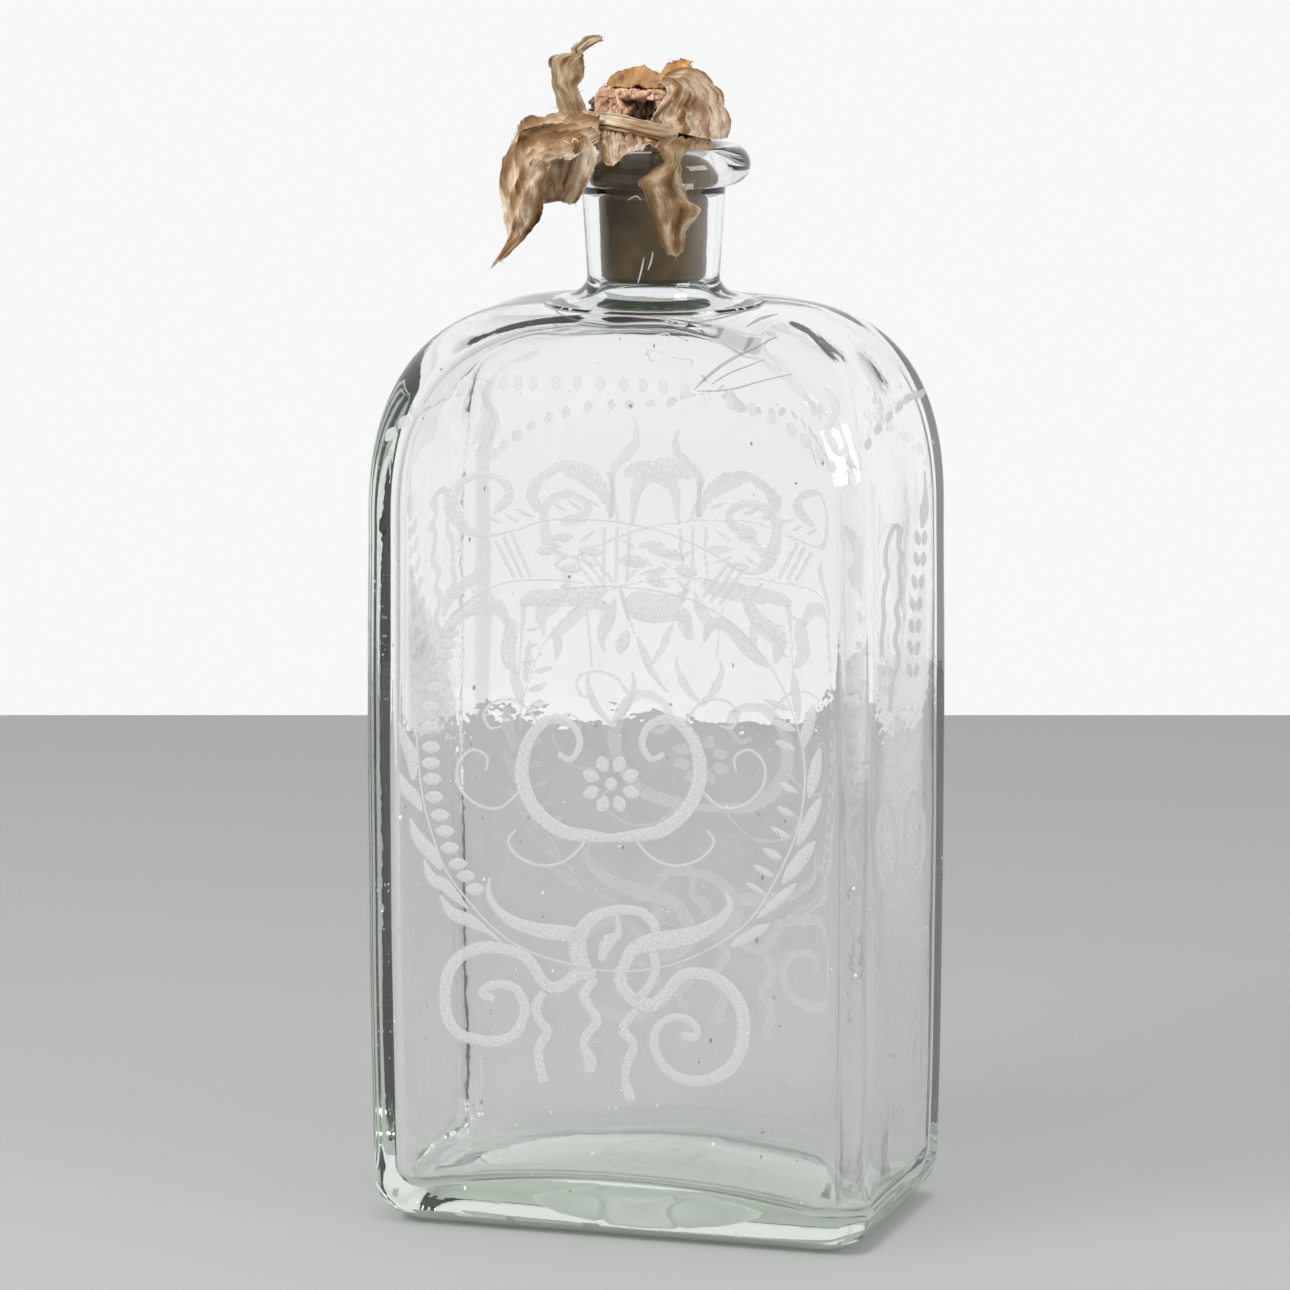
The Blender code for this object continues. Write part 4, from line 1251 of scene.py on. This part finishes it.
def cork_bite(spot, turn, head_share):
    """How deep the cork has crumbled at a spot: caves, pits and grain on the head, scores below."""
    cave = noise.noise(spot / cave_span) + cave_pit_share * noise.noise(spot / pit_span)
    cave = eased(*cave_edges, cave)
    warp = noise.noise_vector(spot / pit_span) * crumb_warp_share
    distances, centres = noise.voronoi(spot / crumb_span + warp)
    crumb = eased(-0.5, 0.5, noise.noise(centres[0] * 2.3))
    crack = 1 - eased(0.0, crack_share, distances[1] - distances[0])
    grain = 0.5 + 0.5 * noise.noise(spot / grain_span)
    head = cave * cave_depth + crumb * crumb_depth + crack * crack_depth + grain * grain_depth
    score = plug_score_depth * (0.5 + 0.5 * noise.noise(Vector((turn * 14.0, spot.z / cave_span, 3.0))))
    return mix(score, head, head_share)


def make_cork(material):
    """The hand-cut cork: its head crumbles in caves and pits, its plug is smooth and scored."""
    noise.seed_set(crumb_start)
    bm = bmesh.new()
    pit_shade_layer = bm.verts.layers.float.new("pit")
    rows = []
    for radius, height in resampled(cork_profile(), cork_row_step):
        row = []
        head_share = eased(glass_height, glass_height + cork_crown_round / 2, height)
        for step in range(cork_turn_steps):
            turn = 2 * math.pi * step / cork_turn_steps
            out = Vector((math.cos(turn), math.sin(turn), 0.0))
            spot = out * radius + Vector((0.0, 0.0, height))
            bite = cork_bite(spot, turn, head_share)
            crown_share = eased(cork_top_height - cork_crown_round, cork_top_height, height)
            inward = out * (1 - crown_share) * min(1.0, radius / cave_span)
            spot -= (inward + Vector((0.0, 0.0, crown_share))) * bite
            vert = bm.verts.new(spot + Vector((neck_offset, 0.0, 0.0)))
            # How deep the pit is, for the painted shade in the pits
            vert[pit_shade_layer] = head_share * min(1.0, bite / (cave_depth + crumb_depth / 2))
            row.append(vert)
        rows.append(row)
    for high, low in zip(rows, rows[1:]):
        join_rows(bm, low, high, closed=True)
    bm.faces.new(rows[0])
    bm.faces.new(reversed(rows[-1]))
    cork = object_from("cork", bm, material)
    cork.data.set_sharp_from_angle(angle=math.radians(sharp_cork_deg))
    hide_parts("cork_stopper")
    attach(cork, "stopper")
    return cork


def make_cork_material():
    """Pinkish cork above the lip with painted shade in its pits, and olive brown where it sat in spirit."""
    material, tree, surface = material_with_nodes("old_cork")
    place = add_node(tree, "ShaderNodeTexCoord").outputs
    # Painted shade in the pits: the deeper the cork has crumbled, the darker
    head = add_ramp(tree, add_attribute(tree, "pit"), cork_pit_shade_stops)
    speckle = add_noise(tree, place["Object"], 1 / grain_span, 5.0)
    crumbs = add_mix(tree, "MULTIPLY", 1.0, head, add_ramp(tree, speckle, cork_spot_stops))
    stain = add_noise(tree, place["Object"], 1 / cave_span, 3.0)
    plug = add_ramp(tree, stain, cork_plug_stops)
    rise_range = (glass_height - mouth_round, glass_height + cork_crown_round / 2, 0.0, 1.0)
    above = add_range(tree, add_split(tree, place["Object"])["Z"], rise_range, "LINEAR")
    add_bump(surface, speckle, 0.5, grain_depth)
    set_inputs(surface, Base_Color=add_mix(tree, "MIX", above, plug, crumbs), Roughness=0.85)
    return material


# The membrane


def seen_at(x_px, y_px, reach_share):
    """The point seen at a pixel, this many lip radii nearer to the camera than the neck's axis."""
    back, right, up = view_axes()
    ray = pixel_ray(x_px, y_px)
    level = Vector((back.x, back.y, 0.0)).normalized()
    start = camera_place()
    axis_reach = (start - Vector((neck_offset, 0.0, 0.0))).dot(level)
    return start + ray * ((reach_share * lip_radius - axis_reach) / ray.dot(level))


def over_cork(turn_deg, out_share, up_share):
    """A point over the cork: out 1 is its side, up 0 the lip and up 1 its crown."""
    side = cork_head_radius + sheet_seat
    radius = side * out_share if out_share <= 1 else side + cap_bulge * (out_share - 1)
    foot, crown = glass_height + sheet_seat, cork_top_height + sheet_seat
    height = mix(foot, crown, up_share) if up_share <= 1 else crown + cap_rise * (up_share - 1)
    turn = math.radians(turn_deg)
    return Vector((neck_offset + radius * math.cos(turn), radius * math.sin(turn), height))


def curve_point(points, place):
    """A point on the Catmull-Rom curve through the points, at a place counted in points."""
    first = min(int(place), len(points) - 2)
    t = place - first
    before, after = points[max(first - 1, 0)], points[min(first + 2, len(points) - 1)]
    here, there = points[first], points[first + 1]
    return 0.5 * (2 * here + (there - before) * t + (2 * before - 5 * here + 4 * there - after) * t**2
                  + (3 * here - before - 3 * there + after) * t**3)


def net_grid(net, columns, rows):
    """A fine grid of points over a coarse net."""
    lines = [[curve_point(row, (len(row) - 1) * c / columns) for c in range(columns + 1)] for row in net]
    uprights = list(zip(*lines))
    return [[curve_point(upright, (len(net) - 1) * r / rows) for upright in uprights]
            for r in range(rows + 1)]


def ridge(x, y, seed):
    """Noise folded over at zero, so that it has sharp crests: from -1 in a flat to 1 on a crest."""
    return 1 - 4 * abs(noise.noise(Vector((x, y, seed))))


def creases(u, v, seed):
    """How high a fold, a slant, a pleat, a crush and a fine wrinkle stand at a place on the flat sheet."""
    drift = noise.noise(Vector((v / crush_span, u / fold_length, seed)))
    return (
        ridge(u / fold_span + drift * 0.5, v / fold_length, seed),
        ridge((u + v / 2) / cross_span, (v - u / 2) / fold_length, seed + 11.9),
        ridge(u / pleat_span + drift, v / pleat_length, seed + 5.3),
        ridge(u / crush_span, v / crush_span, seed + 3.7),
        ridge(u / fine_span, v / pleat_span, seed + 9.1),
    )


def crumpled(grid, flat, top_share, foot_share, seed):
    """The grid moved along its normals into creases, and how high each point stands on them, which sets its
    painted shade and highlight.
    """
    width, length = flat
    rows, columns = len(grid) - 1, len(grid[0]) - 1
    moved, shade_tones = [], []
    for r, line in enumerate(grid):
        new_line, new_shade_tones = [], []
        share = mix(top_share, foot_share, r / rows)
        for c, point in enumerate(line):
            along = grid[min(r + 1, rows)][c] - grid[max(r - 1, 0)][c]
            across = line[min(c + 1, columns)] - line[max(c - 1, 0)]
            normal = across.cross(along).normalized()
            lift, shade_tone = 0.0, crease_shade_middle
            crests = creases(width * c / columns, length * r / rows, seed)
            for crest, crest_height, crest_share in zip(crests, crease_heights, crease_shade_shares):
                lift += crest_height * crest
                shade_tone += crest_share * crest
            new_line.append(point + normal * lift * share)
            new_shade_tones.append(shade_tone)
        moved.append(new_line)
        shade_tones.append(new_shade_tones)
    return moved, shade_tones


def tear_gap(u, v, torn_edges, tear, seed):
    """How far inside the torn outline a point of the flat sheet lies, with u and v from each edge."""
    gaps = {"left": u[0], "right": u[1], "top": v[0], "foot": v[1]}
    reach = min(gaps[edge] for edge in torn_edges)
    spot = Vector((u[0], v[0], 0.0)) / (jag_span * tear) + Vector((0.0, 0.0, seed))
    middle, coarse, fine = jag_shares
    jag = middle + coarse * noise.noise(spot) + fine * noise.noise(spot * jag_fineness)
    return reach - tear_depth * tear * jag


def add_sheet(bm, net, columns, rows, flat, shares, seed, torn_edges):
    """Adds a crumpled sheet with torn edges to a bmesh."""
    crease_shade_layer = bm.verts.layers.float["crease_shade"]
    edge_layer = bm.verts.layers.float["edge"]
    top_share, foot_share, tear = shares
    points, shade_tones = crumpled(net_grid(net, columns, rows), flat, top_share, foot_share, seed)
    width, length = flat
    lines, kept, places = [], set(), {}
    for r in range(rows + 1):
        line = []
        for c in range(columns + 1):
            vert = bm.verts.new(points[r][c])
            u, v = width * c / columns, length * r / rows
            gap = tear_gap((u, width - u), (v, length - v), torn_edges, tear, seed)
            # The tone for the painted shade in the valleys and painted highlight on the crests
            vert[crease_shade_layer] = shade_tones[r][c]
            vert[edge_layer] = 1 - eased(0.0, tear_depth, gap)
            places[vert] = (u / streak_span, v / streak_length)
            if gap > 0:
                kept.add(vert)
            line.append(vert)
        lines.append(line)
    for high, low in zip(lines, lines[1:]):
        join_rows(bm, high, low, kept=kept)
    lay_uvs(bm, places)


def new_sheet_mesh():
    """An empty bmesh with the layers that the membrane's material reads."""
    bm = bmesh.new()
    bm.verts.layers.float.new("crease_shade")
    bm.verts.layers.float.new("edge")
    bm.loops.layers.uv.new("UVMap")
    return bm


def finish_sheet(name, bm, material, node):
    loose = [vert for vert in bm.verts if not vert.link_faces]
    bmesh.ops.delete(bm, geom=loose, context="VERTS")
    area = sum(face.calc_area() for face in bm.faces)
    sheet = object_from(name, bm, material)
    solid = sheet.modifiers.new("Thickness", "SOLIDIFY")
    solid.thickness = skin_thickness
    solid.offset = 0.0
    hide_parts(node)
    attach(sheet, "stopper")
    return sheet


def make_rag(rim, name, nets, material):
    """A rag of one or more sheets, each as add_sheet takes it, with its torn edges added to the rim."""
    bm = new_sheet_mesh()
    for values in nets:
        add_sheet(bm, *values)
    rim.extend(torn_rim(bm))
    return finish_sheet(name, bm, material, name.replace("seal", "membrane"))


def seen_net(net):
    """A net of pixels and reaches as points."""
    return [[seen_at(*point) for point in row] for row in net]


def make_band(material):
    """The membrane rolled into a double cord across the front of the cork."""
    bm = new_sheet_mesh()
    crease_shade_layer = bm.verts.layers.float["crease_shade"]
    line = [seen_at(*point) for point in band_line]
    last = len(line) - 1
    plain, lobed, crested, wrinkled = band_lobe_shares
    rows, places = [], {}
    for step in range(band_path_steps + 1):
        share = step / band_path_steps
        place = share * last
        centre = curve_point(line, place)
        along = curve_point(line, min(place + 0.1, last)) - curve_point(line, max(place - 0.1, 0))
        out = Vector((centre.x - neck_offset, centre.y, 0.0)).normalized()
        lift = along.cross(out).normalized()
        taper = min(1.0, band_end_share + 4 * share, band_end_share + 5 * (1 - share))
        row = []
        for turn_step in range(band_round_steps):
            angle = 2 * math.pi * turn_step / band_round_steps
            crest = ridge(math.cos(angle) * 1.6 + share * 1.2, math.sin(angle) * 1.6, 4.2)
            lobes = plain + lobed * abs(math.sin(angle + band_twist * share))
            wrinkle = wrinkled * ridge(angle * 2.2, share * 9, 1.7)
            radius = band_radius * taper * (lobes + crested * crest + wrinkle)
            way = out * math.cos(angle) * band_depth_share + lift * math.sin(angle)
            vert = bm.verts.new(centre + way * radius)
            # The tone for the painted shade and highlight across the band's ridges
            vert[crease_shade_layer] = 0.5 + 0.35 * crest
            places[vert] = (angle * band_radius / streak_span, share * band_flat[0] / streak_length)
            row.append(vert)
        rows.append(row)
    for low, high in zip(rows, rows[1:]):
        join_rows(bm, low, high, closed=True)
    lay_uvs(bm, places)
    return finish_sheet("seal_band", bm, material, "membrane_band")


def torn_rim(bm):
    """The points on a sheet's torn edges, each with the way that leads out of the sheet."""
    edge_layer = bm.verts.layers.float["edge"]
    rim = []
    for vert in bm.verts:
        if vert.link_faces and vert.is_boundary and vert[edge_layer] > torn_share:
            middle = sum((face.calc_center_median() for face in vert.link_faces), Vector())
            out = vert.co - middle / len(vert.link_faces)
            rim.append((vert.co.copy(), out.normalized()))
    return rim


def add_tube(bm, line, radius):
    """A thin tube along a line of points that narrows to its end."""
    edge_layer = bm.verts.layers.float["edge"]
    rows = []
    for number, place in enumerate(line):
        along = (line[min(number + 1, len(line) - 1)] - line[max(number - 1, 0)]).normalized()
        side = along.orthogonal().normalized()
        width = radius * (1 - number / len(line))
        row = []
        for corner in range(fibre_sides):
            angle = 2 * math.pi * corner / fibre_sides
            way = side * math.cos(angle) + along.cross(side) * math.sin(angle)
            vert = bm.verts.new(place + way * width)
            vert[edge_layer] = 1.0
            row.append(vert)
        rows.append(row)
    skin_rows(bm, rows)


def make_fibres(rim, material):
    """Single fibres that curl out of the torn edges."""
    chance = random.Random(fibre_start)
    bm = new_sheet_mesh()
    for place, out in chance.sample(rim, fibre_count):
        axis = Vector((chance.uniform(-1, 1), chance.uniform(-1, 1), chance.uniform(-1, 1))).normalized()
        turn = Matrix.Rotation(math.radians(chance.uniform(*fibre_curl_deg)), 3, axis)
        step_length = chance.uniform(fibre_least, fibre_most) / fibre_steps
        line = [place - out * step_length]
        for step in range(fibre_steps):
            line.append(line[-1] + out * step_length)
            out = turn @ out
        add_tube(bm, line, fibre_radius)
    fibres = object_from("seal_fibres", bm, material)
    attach(fibres, "stopper")


def make_seal(skin, thin, amber):
    """All the rags of the torn membrane. The tongue and the strip are of thinner, darker skin."""
    hanging = ("left", "right", "foot")
    all_round = (*hanging, "top")
    over = [[over_cork(*point) for point in row] for row in zip(*cap_shares)]
    crown, pleats = seen_net(crown_net), seen_net(pleats_net)
    tongue, strip = seen_net(tongue_net), seen_net(strip_net)
    cap_sheet = (over, 220, 96, cap_flat, (1.0, 0.6, 1.0), 2.3, ("left", "top", "foot"))
    crown_sheet = (crown, 120, 44, crown_flat, (0.4, 0.4, 2.6), 8.1, all_round)
    pleats_sheet = (pleats, 130, 44, pleats_flat, (0.9, 0.9, 1.2), 5.2, ("left", "foot"))
    front = (seen_net(flap_front_net), 80, 210, flap_front_flat, (1.9, 0.3, 1.0), 1.4, hanging)
    back = (seen_net(flap_back_net), 64, 60, flap_back_flat, (0.9, 0.5, 1.6), 6.6, ("right", "foot"))
    tongue_sheet = (tongue, 56, 130, tongue_flat, (0.8, 0.55, 1.1), 7.7, hanging)
    strip_sheet = (strip, 50, 96, strip_flat, (0.5, 0.5, 1.2), 3.3, hanging)
    rim = []
    make_rag(rim, "seal_cap", [cap_sheet], skin)
    make_rag(rim, "seal_crown", [crown_sheet], amber)
    make_band(skin)
    make_rag(rim, "seal_pleats", [pleats_sheet], skin)
    make_rag(rim, "seal_flap", [front, back], skin)
    make_rag(rim, "seal_tongue", [tongue_sheet], thin)
    make_rag(rim, "seal_strip", [strip_sheet], thin)
    make_fibres(rim, skin)


def make_membrane_material(name, stops, stain_and_shade_colour, edge_colour, glow_colour, roughness):
    """A dried, slightly translucent skin, with painted shade in its creases and painted highlight on its
    crests, stains that are partly painted fold shade, and another shade where it is torn.
    """
    material, tree, surface = material_with_nodes(name)
    place = add_node(tree, "ShaderNodeTexCoord").outputs
    # Painted shade in the creases and painted highlight on the crests, by how high each point stands on
    # them
    crease_shaded = add_ramp(tree, add_attribute(tree, "crease_shade"), stops)
    fibre = add_noise(tree, place["UV"], 1.0, 5.0)
    streaked = add_mix(tree, "MULTIPLY", streak_share, crease_shaded, add_ramp(tree, fibre, streak_stops))
    # Brown stains, which also stand as painted shade of the folds
    stained_and_shaded = add_range(tree, add_noise(tree, place["Object"], 1 / crush_span, 3.0), stain_and_shade_range)
    brown = add_mix(tree, "MIX", stained_and_shaded, streaked, (*stain_and_shade_colour, 1.0))
    frayed = add_math(tree, "MULTIPLY", add_attribute(tree, "edge"), frayed_share)
    colour = add_mix(tree, "MIX", frayed, brown, (*edge_colour, 1.0))
    add_bump(surface, fibre, 0.6, fine_height)
    set_inputs(surface, Base_Color=colour, Roughness=roughness, Specular_IOR_Level=membrane_shine)
    glow = add_node(tree, "ShaderNodeBsdfTranslucent")
    set_inputs(glow, Color=add_mix(tree, "MULTIPLY", 1.0, colour, (*glow_colour, 1.0)))
    mix_shaders(tree, glow_share, surface, glow)
    return material


# Stage


def make_floor():
    """A pale table top, square to the camera, that ends where the cloth ends in the photograph."""
    bm = bmesh.new()
    rim = []
    for step in range(floor_steps):
        angle = 2 * math.pi * step / floor_steps
        across, along = math.cos(angle), math.sin(angle)
        reach = floor_reach / (abs(across) ** floor_power + abs(along) ** floor_power) ** (1 / floor_power)
        turn = angle + math.radians(view_turn_deg)
        rim.append(bm.verts.new((reach * math.cos(turn), reach * math.sin(turn), 0.0)))
    bm.faces.new(rim)
    material, tree, surface = material_with_nodes("pale_floor")
    set_inputs(surface, Base_Color=(*floor_colour, 1.0), Roughness=0.9, Specular_IOR_Level=0.2)
    floor = object_from("floor", bm, material)
    return floor


def make_world():
    """A near-white room. Light bent by the glass also meets narrow dark gaps between its soft boxes.
    Unless it came straight through both walls, which is a ray depth of 5, it meets a dark front too."""
    world = bpy.data.worlds.new("studio")
    world.use_nodes = True
    bpy.context.scene.world = world
    tree = world.node_tree
    path = add_node(tree, "ShaderNodeLightPath").outputs
    split = add_split(tree, add_node(tree, "ShaderNodeTexCoord").outputs["Generated"])
    turn = add_math(tree, "ARCTAN2", split["Y"], split["X"])
    repeats = add_math(tree, "MULTIPLY_ADD", turn, gap_count, math.radians(gap_phase_deg))
    gap = add_range(tree, add_math(tree, "COSINE", repeats), gap_range)
    ceiling = add_range(tree, split["Z"], ceiling_range)
    front = add_range(tree, split["Y"], front_range)
    through = add_math(tree, "COMPARE", path["Ray Depth"], through_depth, 0.5)
    above = add_math(tree, "MULTIPLY", ceiling, add_level(tree, through, front, 1.0))
    shape = add_math(tree, "MULTIPLY", gap, above)
    bent = add_math(tree, "MAXIMUM", path["Is Transmission Ray"], path["Is Glossy Ray"])
    level = add_level(tree, bent, fill_strength, shape)
    seen = add_level(tree, path["Is Camera Ray"], level, 1.0)
    set_inputs(tree.nodes["Background"], Color=(*room_colour, 1.0), Strength=seen)


def view_axes():
    """The camera's back, right and up directions."""
    turn, rise = math.radians(view_turn_deg), math.radians(view_rise_deg)
    back = Vector((math.sin(turn) * math.cos(rise), -math.cos(turn) * math.cos(rise), math.sin(rise)))
    right = Vector((math.cos(turn), math.sin(turn), 0.0))
    return back, right, back.cross(right)


def camera_place():
    """Where the camera stands."""
    back, right, up = view_axes()
    target = right * view_side_shift + Vector((0.0, 0.0, view_height))
    return target + back * view_distance


def pixel_ray(x_px, y_px):
    """The way from the camera through a pixel of the photograph, counted in pixels."""
    back, right, up = view_axes()
    centre_px = photo_pixels / 2
    return right * (x_px - centre_px) + up * (centre_px - y_px) - back * view_lens_pixels


def make_camera():
    """The photograph's camera."""
    back, right, up = view_axes()
    data = bpy.data.cameras.new("camera")
    data.sensor_width = sensor_width_mm
    data.lens = view_lens_pixels / photo_pixels * sensor_width_mm
    camera = bpy.data.objects.new("camera", data)
    camera.location = camera_place()
    camera.rotation_mode = "QUATERNION"
    camera.rotation_quaternion = (-back).to_track_quat("-Z", "Y")
    bpy.context.scene.collection.objects.link(camera)
    bpy.context.scene.camera = camera


def make_lamp(name, place, size, power, mirrored):
    """A soft square lamp that faces the bottle, and is mirrored in the glass or not."""
    data = bpy.data.lights.new(name, "AREA")
    data.size = size
    data.energy = power
    lamp = bpy.data.objects.new(name, data)
    lamp.location = place
    aim = Vector((0.0, 0.0, view_height)) - Vector(place)
    lamp.rotation_mode = "QUATERNION"
    lamp.rotation_quaternion = aim.to_track_quat("-Z", "Y")
    lamp.visible_glossy = mirrored
    lamp.visible_transmission = mirrored
    bpy.context.scene.collection.objects.link(lamp)


def main():
    """Builds the scene."""
    bpy.context.scene.view_settings.view_transform = "Standard"
    make_camera()
    make_world()
    make_floor()
    for lamp in lamps:
        make_lamp(*lamp)
    glass = make_glass(make_glass_material("blown_glass", glass_colour, 0.0, 1.0),
                       make_glass_material("worn_glass", worn_colour, worn_roughness, worn_clearness),
                       make_glass_material("hazy_glass", glass_colour, 0.0, hazy_clearness))
    make_engravings(glass, make_ground_material("ground_glass", ground_dark, ground_pale, ground_alpha),
                    make_ground_material("ground_glass_behind_brightened", behind_brightened_dark, behind_brightened_pale, behind_alpha),
                    make_frost_material(), make_ground_material("cord", cord_dark, cord_pale, cord_alpha))
    make_seeds(glass)
    make_cork(make_cork_material())
    skin = make_membrane_material("dried_membrane", skin_shade_stops, skin_stain_and_shade, skin_edge, skin_glow,
                                  skin_roughness)
    amber = make_membrane_material("amber_membrane", amber_shade_stops, amber_stain_and_shade, amber_edge, amber_glow,
                                   amber_roughness)
    thin = make_membrane_material("thin_membrane", thin_shade_stops, thin_stain_and_shade, thin_edge, skin_glow,
                                  skin_roughness)
    make_seal(skin, thin, amber)


main()
